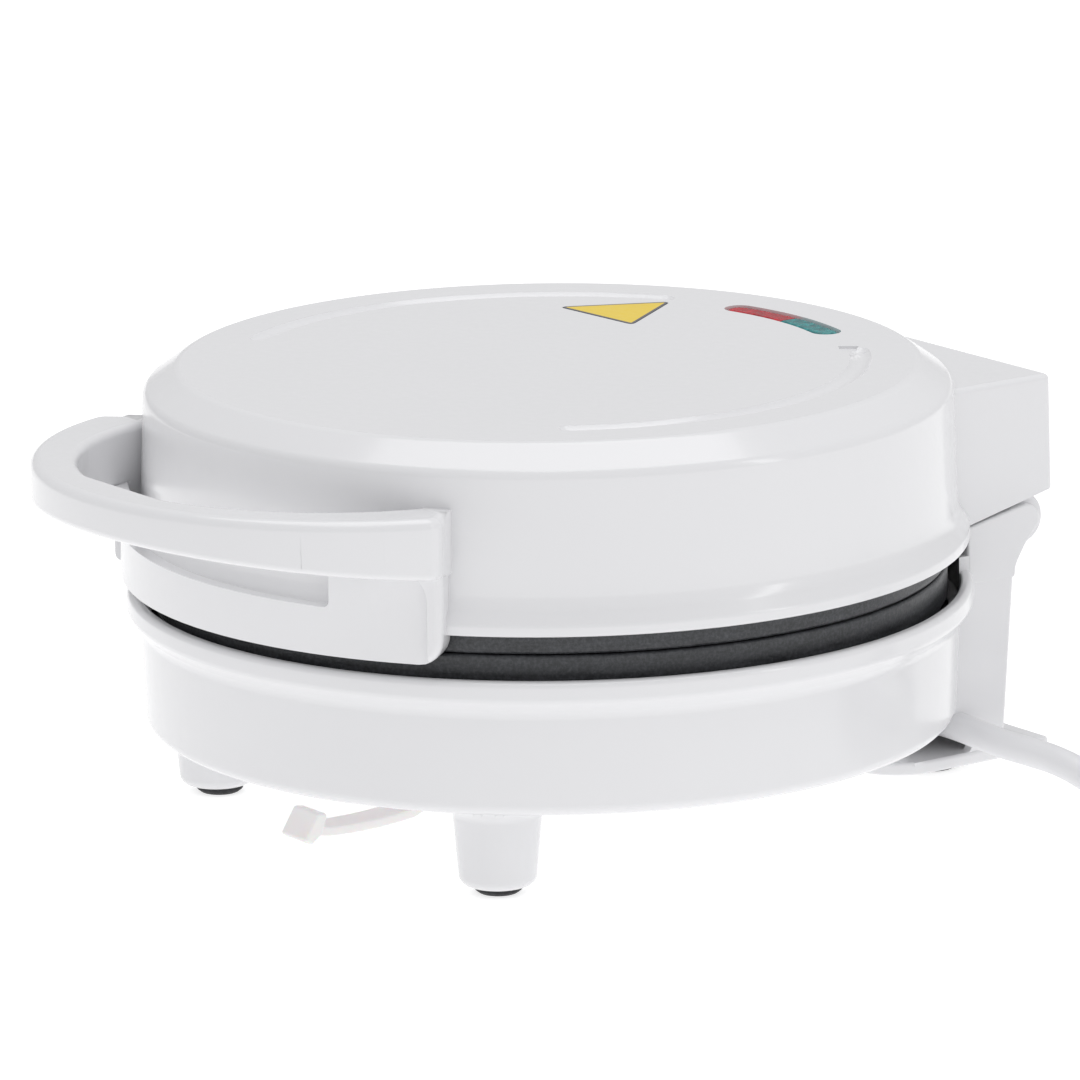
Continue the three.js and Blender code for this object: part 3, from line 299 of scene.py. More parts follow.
# %% Cord jacket finish
def cord_jacket():
    colour, shade = (0.80, 0.80, 0.81), (0.74, 0.74, 0.76)
    return moulded_finish("cord_jacket", colour, shade, 0.32, 0.46, 90.0, 0.05)


CORD_JACKET = cord_jacket()
print("finish", CORD_JACKET.name)

# %% [markdown]
# ## The mains cord
# A cord has a fixed length, so its route is settled first: straight out of the tower, down to the
# table, and then the spare length in a neat round coil whose turns lie on each other, with the plug
# beside it. A curve with a round bevel is the right tool, because its own line is the cord's
# centre line. The free stretch is a short list of points, and a loop gives the coil's turns.

# %% The cord's route
CORD_R = 3.5
COIL_R = 38.5
PLUG_R = 18.5
PLUG_GAP = 0.6
sleeve_low, sleeve_high = box_mm("cord_gland")
exit_point = Vector((sleeve_high.x + 5, (sleeve_low.y + sleeve_high.y) / 2, sleeve_low.z + 6))
coil_low, coil_high = box_mm("cord_coil")
coil = (coil_low + coil_high) / 2
free_route = [
    (-22, 0, 0), (-11, 0, 0), (0, 0, 0), (8, 0.5, -0.6), (15, 1.1, -1.2), (23, 2.6, -1.7),
    (31, 4.9, -2.8), (40, 6.7, -5.2), (49.5, 7.7, -8.6), (60, 8.1, -11.6), (68, 8.2, -12.75),
]
SAG = Vector((0, 0, -0.9))
route = [exit_point + SAG + Vector(step) for step in free_route]


def coil_height(turns):
    """Height of the cord's centre after so many turns: it climbs one layer late in each turn."""
    layer, share = divmod(turns, 1)
    climb = max(0.0, (share - 0.78) / 0.22)
    return CORD_R + (2 * CORD_R + TOUCH) * (layer + climb * climb * (3 - 2 * climb))


COIL_START, COIL_ANGLE, POINTS_PER_TURN = -90, 791, 24
count = round(COIL_ANGLE / 360 * POINTS_PER_TURN)
for i in range(count + 1):
    turned_by = COIL_ANGLE * i / count
    angle = math.radians(COIL_START + turned_by)
    offset = Vector((COIL_R * math.cos(angle), COIL_R * math.sin(angle), 0))
    route.append(Vector((coil.x, coil.y, coil_height(turned_by / 360))) + offset)
last_stretch = [
    (39.4, -4.2, 0.3), (42.4, 4.4, 0.2), (45, 13.3, 0.1), (46.7, 22.3, 0), (47, 31, 0), (47, 36, 0),
]
route += [Vector((coil.x + x, coil.y + y, PLUG_R + z)) for x, y, z in last_stretch]
print("route points", len(route))

# %% The cord as a curve
cord_curve = bpy.data.curves.new("mains_cord", "CURVE")
cord_curve.dimensions = "3D"
cord_curve.bevel_depth = CORD_R * MM
cord_curve.bevel_resolution = 5
cord_curve.resolution_u = 4
cord_curve.use_fill_caps = True
spline = cord_curve.splines.new("BEZIER")
spline.bezier_points.add(len(route) - 1)
for knot, point in zip(spline.bezier_points, route):
    knot.co = point * MM + AXIS
    knot.handle_left_type = "AUTO"
    knot.handle_right_type = "AUTO"
cord_curve.materials.append(CORD_JACKET)
mains_cord = bpy.data.objects.new("mains_cord", cord_curve)
bpy.context.scene.collection.objects.link(mains_cord)
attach(mains_cord, "base")
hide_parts("power_cord", "cord_coil", "cord_tail")

# %% [markdown]
# ## Tools for the mouldings
# Four short tools make almost every piece. An outline is a flat face whose corners are rounded by a
# vertex bevel. A lathe spins an outline round the axis. A slab raises one. Combining two solids is a
# boolean, and softening rounds every edge that is sharper than a given angle. Bevels give the
# highlights that a moulded edge shows, so no visible edge stays sharp.


# %% Outlines, lathes and slabs
def round_corner(bm, vert, radius, segments):
    ends = [edge.other_vert(vert).co - vert.co for edge in vert.link_edges]
    turn = math.pi - ends[0].angle(ends[1])
    reach = radius * math.tan(turn / 2)
    bmesh.ops.bevel(bm, geom=[vert], offset=reach, offset_type="OFFSET", affect="VERTICES",
                    segments=segments, profile=0.5, material=-1)


def outline(corners, upright_plane=False, segments=5):
    """Flat face from (a, b) or (a, b, radius) corners, in XZ if upright, else in XY."""
    bm = bmesh.new()
    verts = []
    for a, b, *_ in corners:
        verts.append(bm.verts.new((a, 0, b) if upright_plane else (a, b, 0)))
    bm.faces.new(verts)
    for vert, corner in zip(verts, corners):
        if len(corner) > 2:
            round_corner(bm, vert, corner[2], segments)
    return bm


def lathe(corners, steps=144, segments=5):
    """Solid of revolution about Z from (radius, height) corners."""
    bm = outline(corners, upright_plane=True, segments=segments)
    bmesh.ops.delete(bm, geom=bm.faces[:], context="FACES_ONLY")
    on_axis = [e for e in bm.edges if max(abs(v.co.x) for v in e.verts) < 1e-5]
    bmesh.ops.delete(bm, geom=on_axis, context="EDGES")
    bmesh.ops.spin(bm, geom=bm.verts[:] + bm.edges[:], cent=(0, 0, 0), axis=(0, 0, 1),
                   dvec=(0, 0, 0), angle=math.tau, steps=steps, use_merge=True)
    bmesh.ops.remove_doubles(bm, verts=bm.verts, dist=1e-4)
    bmesh.ops.recalc_face_normals(bm, faces=bm.faces)
    return bm


def raise_by(bm, vector):
    """Give a flat outline its thickness."""
    raised = bmesh.ops.extrude_face_region(bm, geom=bm.faces[:])["geom"]
    verts = [item for item in raised if isinstance(item, bmesh.types.BMVert)]
    bmesh.ops.translate(bm, verts=verts, vec=vector)
    bmesh.ops.recalc_face_normals(bm, faces=bm.faces)
    return bm


def slab(corners, low, high, segments=5):
    bm = raise_by(outline(corners, segments=segments), (0, 0, high - low))
    bmesh.ops.translate(bm, verts=bm.verts, vec=(0, 0, low))
    return bm


def side_slab(corners, left, right):
    """Solid from a side view in (y, z) corners between two X positions."""
    bm = slab(corners, left, right)
    turn = Matrix(((0, 0, 1), (1, 0, 0), (0, 1, 0)))
    bmesh.ops.transform(bm, matrix=turn.to_4x4(), verts=bm.verts)
    bmesh.ops.recalc_face_normals(bm, faces=bm.faces)
    return bm


def block(x0, x1, y0, y1, z0, z1):
    bm = bmesh.new()
    bmesh.ops.create_cube(bm, size=1)
    bmesh.ops.scale(bm, vec=(x1 - x0, y1 - y0, z1 - z0), verts=bm.verts)
    bmesh.ops.translate(bm, vec=((x0 + x1) / 2, (y0 + y1) / 2, (z0 + z1) / 2), verts=bm.verts)
    return bm


def arc(cx, cy, radius, start, end, step=3.0):
    """Points of a round stretch, from start to end in degrees."""
    count = max(2, round(abs(end - start) / step))
    angles = [math.radians(start + (end - start) * i / count) for i in range(count + 1)]
    return [(cx + radius * math.cos(a), cy + radius * math.sin(a)) for a in angles]


def arc_slot(radius, half_width, start, end, step=3.0):
    """Curved slot with round ends, concentric with the plates."""
    a, b = math.radians(start), math.radians(end)
    return (
        arc(0, 0, radius + half_width, start, end, step)
        + arc(radius * math.cos(b), radius * math.sin(b), half_width, end, end + 180, 15)[1:-1]
        + arc(0, 0, radius - half_width, end, start, step)
        + arc(radius * math.cos(a), radius * math.sin(a), half_width, start - 180, start, 15)[1:-1]
    )


# %% Softening, joining and moving
def soften(bm, radius, pick=lambda edge: True, segments=3, sharper_than=35, clamp=True):
    limit = math.radians(sharper_than)
    edges = [
        e for e in bm.edges
        if len(e.link_faces) == 2 and e.calc_face_angle(0) > limit and pick(e)
    ]
    bmesh.ops.bevel(bm, geom=edges, offset=radius, offset_type="OFFSET", affect="EDGES",
                    segments=segments, profile=0.5, clamp_overlap=clamp, material=-1)
    return bm


def move(bm, x=0.0, y=0.0, z=0.0):
    bmesh.ops.translate(bm, verts=bm.verts, vec=(x, y, z))
    return bm


def turn(bm, degrees, axis):
    rotation = Matrix.Rotation(math.radians(degrees), 3, axis)
    bmesh.ops.rotate(bm, verts=bm.verts, cent=(0, 0, 0), matrix=rotation)
    return bm


def mirrored(bm):
    """Copy of a solid on the other side of X = 0."""
    other = bm.copy()
    bmesh.ops.scale(other, verts=other.verts, vec=(-1, 1, 1))
    bmesh.ops.recalc_face_normals(other, faces=other.faces)
    return other


def gathered(solids):
    """Several solids that don't touch, as one."""
    whole = bmesh.new()
    for solid in solids:
        mesh = bpy.data.meshes.new("part")
        solid.to_mesh(mesh)
        solid.free()
        whole.from_mesh(mesh)
        bpy.data.meshes.remove(mesh)
    return whole


def holder(bm, name):
    mesh = bpy.data.meshes.new(name)
    bm.to_mesh(mesh)
    bm.free()
    obj = bpy.data.objects.new(name, mesh)
    bpy.context.scene.collection.objects.link(obj)
    return obj


def combine(bm, other, operation):
    """Boolean of two solids; both are used up."""
    first, second = holder(bm, "first"), holder(other, "second")
    modifier = first.modifiers.new("boolean", "BOOLEAN")
    modifier.operation = operation
    modifier.solver = "EXACT"
    modifier.object = second
    shown = first.evaluated_get(bpy.context.evaluated_depsgraph_get())
    made = bmesh.new()
    made.from_mesh(shown.to_mesh())
    shown.to_mesh_clear()
    for obj in (first, second):
        mesh = obj.data
        bpy.data.objects.remove(obj)
        bpy.data.meshes.remove(mesh)
    bmesh.ops.remove_doubles(made, verts=made.verts, dist=1e-3)
    bmesh.ops.dissolve_degenerate(made, edges=made.edges, dist=1e-3)
    return made


def joined(bm, other):
    return combine(bm, other, "UNION")


def without(bm, other):
    return combine(bm, other, "DIFFERENCE")


# %% [markdown]
# ## Finishing a piece
# The last tool turns millimetres round the plate axis into metres in the frame. It shades the mesh
# smooth except along sharp edges, and it weights the normals by face size, which keeps large flats
# truly flat beside their rounded edges. Then the piece is tied to the body that it moves with.

# %% The piece helper
def piece(bm, name, finish, body, replaced=(), flat_from=38):
    bmesh.ops.scale(bm, verts=bm.verts, vec=(MM, MM, MM))
    bmesh.ops.translate(bm, verts=bm.verts, vec=AXIS)
    mesh = bpy.data.meshes.new(name)
    bm.to_mesh(mesh)
    bm.free()
    mesh.shade_smooth()
    mesh.set_sharp_from_angle(angle=math.radians(flat_from))
    for material in finish if isinstance(finish, (list, tuple)) else [finish]:
        mesh.materials.append(material)
    obj = bpy.data.objects.new(name, mesh)
    bpy.context.scene.collection.objects.link(obj)
    weighted = obj.modifiers.new("weighted", "WEIGHTED_NORMAL")
    weighted.keep_sharp = True
    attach(obj, body)
    if replaced:
        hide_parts(*replaced)
    print(name, len(mesh.polygons), "faces")
    return obj


# %% [markdown]
# ## Housing plastic
# The housings are moulded in a glossy white plastic with a faintly cool tone. Its gloss is broken
# only by the slow waves of the moulding and by fingerprints too faint to see one by one.

# %% Housing finish
HOUSING = moulded_finish("white_housing", (0.80, 0.80, 0.812), (0.78, 0.78, 0.795),
                         0.14, 0.22, 22.0, 0.1, Coat_Weight=0.2, Coat_Roughness=0.05)
print("finish", HOUSING.name)

# %% [markdown]
# ## Bowl
# The lower housing starts as a bowl: a flat floor, a wall that leans out slightly, and a rim that
# steps outwards in a soft curve. It is a lathe, with every corner's radius given beside it.

# %% Bowl
def bowl():
    return lathe([
        (0, STAND),
        (BOWL_FOOT_R, STAND, 3),
        (BOWL_R, RIM_LOW, 4),
        (RIM_R, RIM_LOW + 3.6, 2.2),
        (RIM_R - 0.2, RIM_TOP, 1.5),
        (RIM_BORE, RIM_TOP, 0.8),
        (RIM_BORE, RIM_LOW + 2.5, 0.5),
        (BOWL_R - WALL, RIM_LOW + 1, 0.5),
        (BOWL_FOOT_R - WALL, FLOOR, 1.5),
        (0, FLOOR),
    ], steps=180)


def bowl_room():
    """Everything inside the bowl, a hair smaller, to clear away what is added from behind."""
    hair = 0.06
    return lathe([
        (0, FLOOR + hair),
        (BOWL_FOOT_R - WALL - hair, FLOOR + hair, 1.5),
        (BOWL_R - WALL - hair, RIM_LOW + 1, 0.5),
        (RIM_BORE - hair, RIM_LOW + 2.5, 0.5),
        (RIM_BORE - hair, HINGE_Z),
        (0, HINGE_Z),
    ], steps=180)


# %% [markdown]
# ## Tower and hinge cheeks
# Behind the bowl stands a hollow tower. Two cheeks rise from it into the lid's rear block and carry
# the hinge pins. The tower is a cube whose rear leans, hollowed by a smaller one, and each cheek is
# a side view given its thickness.

# %% Tower
TOWER_X = 55
TOWER_REAR = HINGE_Y - 3.7
TOWER_TOP = PARTING - 1.7
TOWER_FRONT = 66
SHELF_TOP = 9.6
LEAN = 3.5
MOUTH_REAR = exit_point.y + CORD_R + 0.6
MOUTH_TOP = STAND - 2.2
BLOCK_X = TOWER_X + 0.6


def block_underside(y):
    return HINGE_Z + 5.3 + 0.223 * (y - HINGE_Y)


def leaning(half_width, front, rear, low, high, corner):
    bm = block(-half_width, half_width, front, rear, low, high)
    for vert in bm.verts:
        if vert.co.y > front + 1:
            vert.co.y -= LEAN * (TOWER_TOP - vert.co.z) / (TOWER_TOP - SHELF_TOP)
    return soften(bm, corner, lambda e: min(v.co.y for v in e.verts) > front + 1
                  and abs(e.verts[0].co.z - e.verts[1].co.z) > 1, segments=6)


def tower():
    outer = leaning(TOWER_X, TOWER_FRONT, TOWER_REAR, SHELF_TOP - 1, TOWER_TOP, 1.3)
    inner = leaning(TOWER_X - WALL, TOWER_FRONT - 4, TOWER_REAR - WALL, SHELF_TOP, TOWER_TOP - WALL, 2)
    mouth = side_slab([
        (TOWER_FRONT - 6, SHELF_TOP),
        (MOUTH_REAR, SHELF_TOP, 1.5),
        (MOUTH_REAR, MOUTH_TOP, 3.5),
        (TOWER_FRONT - 6, MOUTH_TOP),
    ], -TOWER_X - 1, TOWER_X + 1)
    return soften(without(without(outer, inner), mouth), 0.5, sharper_than=60)


# %% Hinge cheeks
CHEEK_IN = 45.6
EAR_OUT = BLOCK_X - WALL - 0.5
PIN_BORE = 2.5


def along_x(radius, left, right, y, z, steps=48):
    rod = lathe([(0, left), (radius, left), (radius, right), (0, right)], steps=steps)
    return move(turn(rod, 90, "Y"), 0, y, z)


def cheek():
    top = lambda y: block_underside(y) - 0.5
    front, low = HINGE_Y - 18.5, RIM_TOP - 4
    knuckle = arc(HINGE_Y - 0.6, HINGE_Z, 4.1, 102, -18, 10)
    corners = [(front, low), (front, top(front))] + knuckle
    corners += [(HINGE_Y - 0.9, HINGE_Z - 5.8, 4), (TOWER_REAR, RIM_TOP - 1, 5), (TOWER_REAR - 0.3, low)]
    skin = soften(side_slab(corners, CHEEK_IN, TOWER_X + 0.12), 0.7, sharper_than=50)
    ear = along_x(6, CHEEK_IN + 0.2, EAR_OUT, HINGE_Y, HINGE_Z)
    stem = block(CHEEK_IN + 0.2, EAR_OUT, HINGE_Y - 5.9, HINGE_Y, TOWER_TOP - 1, HINGE_Z)
    hole = along_x(PIN_BORE, CHEEK_IN - 1, EAR_OUT - TOUCH, HINGE_Y, HINGE_Z)
    return without(joined(joined(skin, soften(ear, 0.5)), stem), hole)


# %% [markdown]
# ## Shelf, posts and feet
# Below the tower a plate keeps the wound-up cord off the table. Two posts tie it to the bowl, three
# hollow posts take the screws that hold the lower plate, and two cones are the front feet.

# %% Shelf
SHELF_LOW = 6.5
SHELF_FRONT = 57
SHELF_REAR = HINGE_Y + 7 - 0.8


def shelf():
    plate = slab([
        (-BLOCK_X, SHELF_FRONT, 14), (BLOCK_X, SHELF_FRONT, 14),
        (BLOCK_X, SHELF_REAR, 1.5), (-BLOCK_X, SHELF_REAR, 1.5),
    ], SHELF_LOW, SHELF_TOP, segments=10)
    soften(plate, 0.8, sharper_than=50)
    posts = [cone(5, 5, SHELF_TOP - 1, FLOOR - 1, side * (BLOCK_X - 11), TOWER_FRONT) for side in (-1, 1)]
    return joined(plate, gathered(posts))


def cone(low_r, high_r, low, high, x, y):
    return move(lathe([(0, low), (low_r, low), (high_r, high), (0, high)], steps=40), x, y)


# %% Feet and screw posts
FOOT_ANGLE = math.radians(44.8)
FOOT_REACH = BOWL_R - 16
POST_TOP = LOWER_FACE - 13.1
SCREW_SEAT = POST_TOP - 9


def foot(side):
    body = lathe([
        (0, 2), (8.8, 2, 2.6), (10.3, STAND - 2.2, 3), (13, STAND + 0.4), (0, STAND + 0.4),
    ], steps=72)
    socket = lathe([(0, -1), (5.9, -1), (5.9, 4.3), (0, 4.3)], steps=48)
    x, y = side * FOOT_REACH * math.sin(FOOT_ANGLE), -FOOT_REACH * math.cos(FOOT_ANGLE)
    return move(without(body, socket), x, y)


def screw_places(radius):
    return [(radius * math.cos(math.radians(a)), radius * math.sin(math.radians(a)))
            for a in SCREW_ANGLES]


def base_moulding():
    whole = joined(bowl(), tower())
    side = cheek()
    whole = joined(whole, mirrored(side))
    whole = joined(whole, side)
    whole = without(whole, bowl_room())
    whole = joined(whole, shelf())
    whole = joined(whole, gathered([foot(-1), foot(1)]))
    posts = [cone(6, 6, STAND + 1, POST_TOP, x, y) for x, y in screw_places(OUTER_SCREWS)]
    wells = [cone(3.6, 3.6, STAND - 1, SCREW_SEAT, x, y) for x, y in screw_places(OUTER_SCREWS)]
    bores = [cone(1.8, 1.8, SCREW_SEAT - 1, POST_TOP + 1, x, y) for x, y in screw_places(OUTER_SCREWS)]
    whole = joined(whole, gathered(posts))
    return without(without(whole, gathered(wells)), gathered(bores))


# %% Base moulding
piece(base_moulding(), "base_moulding", HOUSING, "base", ["base_housing"])

# %% [markdown]
# ## Lid dome
# The lid is a shallow dome: a flat top, a soft shoulder, a wall that leans out a little and a lip
# that flares over the bowl's rim. It's a lathe again. Its inner side keeps the wall's thickness and
# leaves a pocket for the upper plate.

# %% Lid dome
def dome():
    return lathe([
        (0, LID_TOP),
        (FLAT_R, LID_TOP, 3),
        (LID_R - 1, LID_TOP - SHOULDER_DROP, 3),
        (LID_R, LIP_LOW + 7, 7),
        (LIP_R, LIP_LOW + 2.5, 1.5),
        (LIP_R, LIP_LOW, 0.8),
        (PLATE_R + 1.2, LIP_LOW, 0.5),
        (PLATE_R + 1.2, LIP_LOW + 4),
        (LID_R - WALL, LIP_LOW + 5.5),
        (LID_R - WALL - 1, LID_TOP - 7),
        (FLAT_R - 1, LID_TOP - WALL, 2),
        (0, LID_TOP - WALL),
    ], steps=180)


def dome_room():
    """Everything under the dome, a hair smaller."""
    hair = 0.06
    return lathe([
        (0, LIP_LOW - 6),
        (PLATE_R + 1.2 - hair, LIP_LOW - 6),
        (PLATE_R + 1.2 - hair, LIP_LOW + 4),
        (LID_R - WALL - hair, LIP_LOW + 5.5),
        (LID_R - WALL - 1 - hair, LID_TOP - 7),
        (FLAT_R - 1 - hair, LID_TOP - WALL - hair, 2),
        (0, LID_TOP - WALL - hair),
    ], steps=180)


# %% [markdown]
# ## Front panel
# A raised panel on the lid's front carries the handle. It's easiest to draw it flat, as its
# unrolled front view, cut the recess and the slot, soften the edges, slice it into narrow strips,
# and then bend it round the lid.

# %% Front panel
PANEL_R = PLATE_R + 8.9
PANEL_IN = PLATE_R + 1.3
PANEL_HALF = math.radians(40) * PANEL_R
PANEL_LOW = PARTING - 1.2
GRIP_LOW = LID_TOP - 28.5
GRIP_TOP = LID_TOP - 14.5
FINGER_R = 57
FINGER_Y = -(PLATE_R + 37.4) + 10 + FINGER_R
GAP_HALF = math.radians(29.6) * PANEL_R
SLOT_HALF = math.radians(24) * PANEL_R
FRAME = 3.5
RECESS = 1.6


def front_slab(corners, inner, outer, segments=6):
    """Solid from an unrolled front view in (width, height), between two radii along Y."""
    bm = slab(corners, -outer, -inner, segments)
    lift = Matrix(((1, 0, 0), (0, 0, 1), (0, 1, 0)))
    bmesh.ops.transform(bm, matrix=lift.to_4x4(), verts=bm.verts)
    bmesh.ops.recalc_face_normals(bm, faces=bm.faces)
    return bm


def wrap(bm, strip=3.0):
    """Bend a flat front view round the upright axis, after slicing it into strips."""
    for i in range(1, int(2 * 45 / strip)):
        across = math.radians(-45 + i * strip) * PANEL_R
        bmesh.ops.bisect_plane(bm, geom=bm.verts[:] + bm.edges[:] + bm.faces[:], dist=1e-4,
                               plane_co=(across, 0, 0), plane_no=(1, 0, 0))
    for vert in bm.verts:
        angle, reach = vert.co.x / PANEL_R, -vert.co.y
        vert.co.x, vert.co.y = reach * math.sin(angle), -reach * math.cos(angle)
    return bm


def rectangle(half, low, high, low_r=None, high_r=None):
    corners = [(-half, low, low_r), (half, low, low_r), (half, high, high_r), (-half, high, high_r)]
    return [corner if corner[2] else corner[:2] for corner in corners]


def panel():
    over = GRIP_LOW + 1.3
    bm = front_slab(rectangle(PANEL_HALF, PANEL_LOW, over, 6), PANEL_IN, PANEL_R)
    soften(bm, 1.8, lambda e: max(v.co.y for v in e.verts) < -PANEL_R + 0.01
           and max(v.co.z for v in e.verts) < over - 0.1
           or abs(e.verts[0].co.x - e.verts[1].co.x) < 0.01
           and max(v.co.y for v in e.verts) < -PANEL_R + 0.01, segments=5, sharper_than=60)
    recess = rectangle(PANEL_HALF - FRAME, PANEL_LOW - 5, GRIP_LOW + 0.7, None, 6)
    bm = without(bm, front_slab(recess, PANEL_R - RECESS, PANEL_R + 5))
    opening = rectangle(GAP_HALF, PANEL_LOW - 1, over + 1)
    bm = without(bm, front_slab(opening, PANEL_R - RECESS, PANEL_R + 5))
    slot = rectangle(SLOT_HALF, GRIP_LOW - 9.2, over + 1, 1.5)
    bm = without(bm, front_slab(slot, PANEL_IN - 1, PANEL_R + 5))
    soften(bm, 0.6, lambda e: max(v.co.z for v in e.verts) < over - 0.1
           and min(-v.co.y for v in e.verts) > PANEL_R - RECESS - 0.1, sharper_than=60)
    skin = PANEL_R - RECESS - 2
    behind = lathe([(0, GRIP_LOW - 9.2), (skin, GRIP_LOW - 9.2), (skin, over + 1), (0, over + 1)])
    fingers = slab([*arc(0, FINGER_Y, FINGER_R, 0, 357)], GRIP_LOW - 12, over + 3)
    return without(wrap(bm), combine(behind, fingers, "INTERSECT"))


# %% [markdown]
# ## Handle
# The handle is one flat slab in the shape of a new moon. Two round arcs draw it, the outer edge and
# the hole for the fingers, and its long edges are rounded for the hand.

# %% Handle
HANDLE_R = 72.3
HANDLE_Y = -(PLATE_R + 37.4) + HANDLE_R
HANDLE_HALF = 68.8
HANDLE_END = (61, -71.7)
LIFT_FROM, LIFT, RISE = -77.4, 6.5, 1.5


def underside(y):
    """How far the handle's underside lies above its root's: it lifts towards the tip."""
    share = min(1.0, max(0.0, (LIFT_FROM - y) / 54.6))
    return LIFT * (0.68 * share + 0.32 * share * share)


def handle():
    reach = math.degrees(math.acos(HANDLE_HALF / HANDLE_R))
    outer = arc(0, HANDLE_Y, HANDLE_R, 180 + reach, 360 - reach, 2.5)
    inner = arc(0, FINGER_Y, FINGER_R, -9, -171, 2.5)
    corners = [(*outer[0], 4)] + outer[1:-1] + [(*outer[-1], 4), HANDLE_END]
    corners += inner + [(-HANDLE_END[0], HANDLE_END[1])]
    grip = slab(corners, 0, 1, segments=6)
    for i in range(7):
        bmesh.ops.bisect_plane(grip, geom=grip.verts[:] + grip.edges[:] + grip.faces[:], dist=1e-4,
                               plane_co=(0, LIFT_FROM - 7.6 * i, 0), plane_no=(0, 1, 0))
    for vert in grip.verts:
        top = GRIP_TOP + RISE * (-vert.co.y - 43.5) / 88.5
        vert.co.z = top if vert.co.z > 0.5 else GRIP_LOW + underside(vert.co.y)
    rim = lambda e: (abs(e.verts[0].co.z - e.verts[1].co.z) < 1.5
                     and min(v.co.xy.length for v in e.verts) > LID_R - 1)
    inside = lambda v: math.hypot(v.co.x, v.co.y - FINGER_Y) < FINGER_R + 0.2
    upper = lambda v: v.co.z > GRIP_TOP - 1
    for above, within, radius in ((True, False, 2.4), (True, True, 2.0), (False, False, 1.6),
                                  (False, True, 1.4)):
        soften(grip, radius, lambda e: rim(e) and all(
            upper(v) == above and inside(v) == within for v in e.verts), segments=6,
            sharper_than=60, clamp=False)
    return grip


# %% [markdown]
# ## Rear block
# A box behind the dome covers the hinge. It widens a little downwards, so that it leaves its mould,
# and its underside slants up to clear the cheeks when the lid turns. A barrel with a short web
# inside it takes the two pins.

# %% Rear block
BLOCK_TOP = LID_TOP - 8.8
BLOCK_REAR = HINGE_Y + 7
BLOCK_FRONT = 50
DRAFT = 0.45


def block_shell():
    under = block_underside
    bm = side_slab([
        (BLOCK_FRONT, under(BLOCK_FRONT)), (BLOCK_REAR, under(BLOCK_REAR)),
        (BLOCK_REAR, BLOCK_TOP), (BLOCK_FRONT, BLOCK_TOP),
    ], -BLOCK_X, BLOCK_X)
    for vert in bm.verts:
        share = (vert.co.z - under(BLOCK_REAR)) / (BLOCK_TOP - under(BLOCK_REAR))
        if vert.co.y > BLOCK_REAR - 1:
            vert.co.y -= DRAFT * share
        vert.co.x -= math.copysign(DRAFT * share, vert.co.x)
    rear_edge = lambda e: (min(v.co.y for v in e.verts) > BLOCK_REAR - 3
                           and abs(e.verts[0].co.z - e.verts[1].co.z) > 5)
    soften(bm, 1.5, rear_edge, segments=5)
    soften(bm, 1.6, lambda e: min(v.co.z for v in e.verts) > BLOCK_TOP - 0.1, segments=5)
    inner = side_slab([
        (BLOCK_FRONT - 1, under(BLOCK_FRONT) - 9), (BLOCK_REAR - WALL, under(BLOCK_REAR) - 9),
        (BLOCK_REAR - WALL - 0.5, BLOCK_TOP - WALL, 2), (BLOCK_FRONT - 1, BLOCK_TOP - WALL),
    ], -BLOCK_X + WALL + 0.6, BLOCK_X - WALL - 0.6)
    bm = without(bm, inner)
    return soften(bm, 0.6, lambda e: max(v.co.z - under(v.co.y) for v in e.verts) < 0.1,
                  sharper_than=50, segments=2)


def barrel():
    return joined(
        soften(along_x(4.5, -CHEEK_IN + TOUCH, CHEEK_IN - TOUCH, HINGE_Y, HINGE_Z), 0.4),
        block(-CHEEK_IN + 0.5, CHEEK_IN - 0.5, HINGE_Y - 3, BLOCK_REAR - 1, HINGE_Z + 2, HINGE_Z + 8.5),
    )


# %% [markdown]
# ## Marks in the lid's top
# Two shallow round grooves run round the top, a curved window lets the lamps shine through, and a
# triangular recess takes the label. A groove is cut by a ring-shaped tool whose middle stays above
# the surface, with a ball at each end, as a milling cutter would leave it.

# %% Lid moulding
GROOVE_R, GROOVE_TOOL, GROOVE_UP = 73.2, 3.4, 2.2
GROOVE_FROM, GROOVE_TO = 31, 122.5
WINDOW_R, WINDOW_HALF, WINDOW_ANGLE = 71.5, 3.7, 13.5
LABEL_X, LABEL_Y, LABEL_R, LABEL_TURN = -32.2, 45.4, 15.6, 93.5


def label_corners(radius, corner):
    turns = [math.radians(LABEL_TURN + 120 * i) for i in range(3)]
    return [(LABEL_X + radius * math.cos(t), LABEL_Y + radius * math.sin(t), corner) for t in turns]


def groove_tools():
    bm = bmesh.new()
    bmesh.ops.create_circle(bm, radius=GROOVE_TOOL, segments=32, cap_ends=True)
    upright_circle = Matrix.Rotation(math.pi / 2, 3, "X")
    bmesh.ops.rotate(bm, verts=bm.verts, cent=(0, 0, 0), matrix=upright_circle)
    move(bm, x=GROOVE_R, z=LID_TOP + GROOVE_UP)
    sweep = math.radians(GROOVE_TO - GROOVE_FROM)
    bmesh.ops.spin(bm, geom=bm.faces[:], cent=(0, 0, 0), axis=(0, 0, 1), dvec=(0, 0, 0),
                   angle=sweep, steps=48)
    bmesh.ops.recalc_face_normals(bm, faces=bm.faces)
    turn(bm, 90 + GROOVE_FROM, "Z")
    balls = []
    for side in (-1, 1):
        for degrees in (GROOVE_FROM, GROOVE_TO):
            angle = math.radians(90 + side * degrees)
            ball = bmesh.new()
            bmesh.ops.create_icosphere(ball, subdivisions=3, radius=GROOVE_TOOL)
            balls.append(move(ball, GROOVE_R * math.cos(angle), GROOVE_R * math.sin(angle),
                              LID_TOP + GROOVE_UP))
    return gathered([mirrored(bm), bm]), gathered(balls)


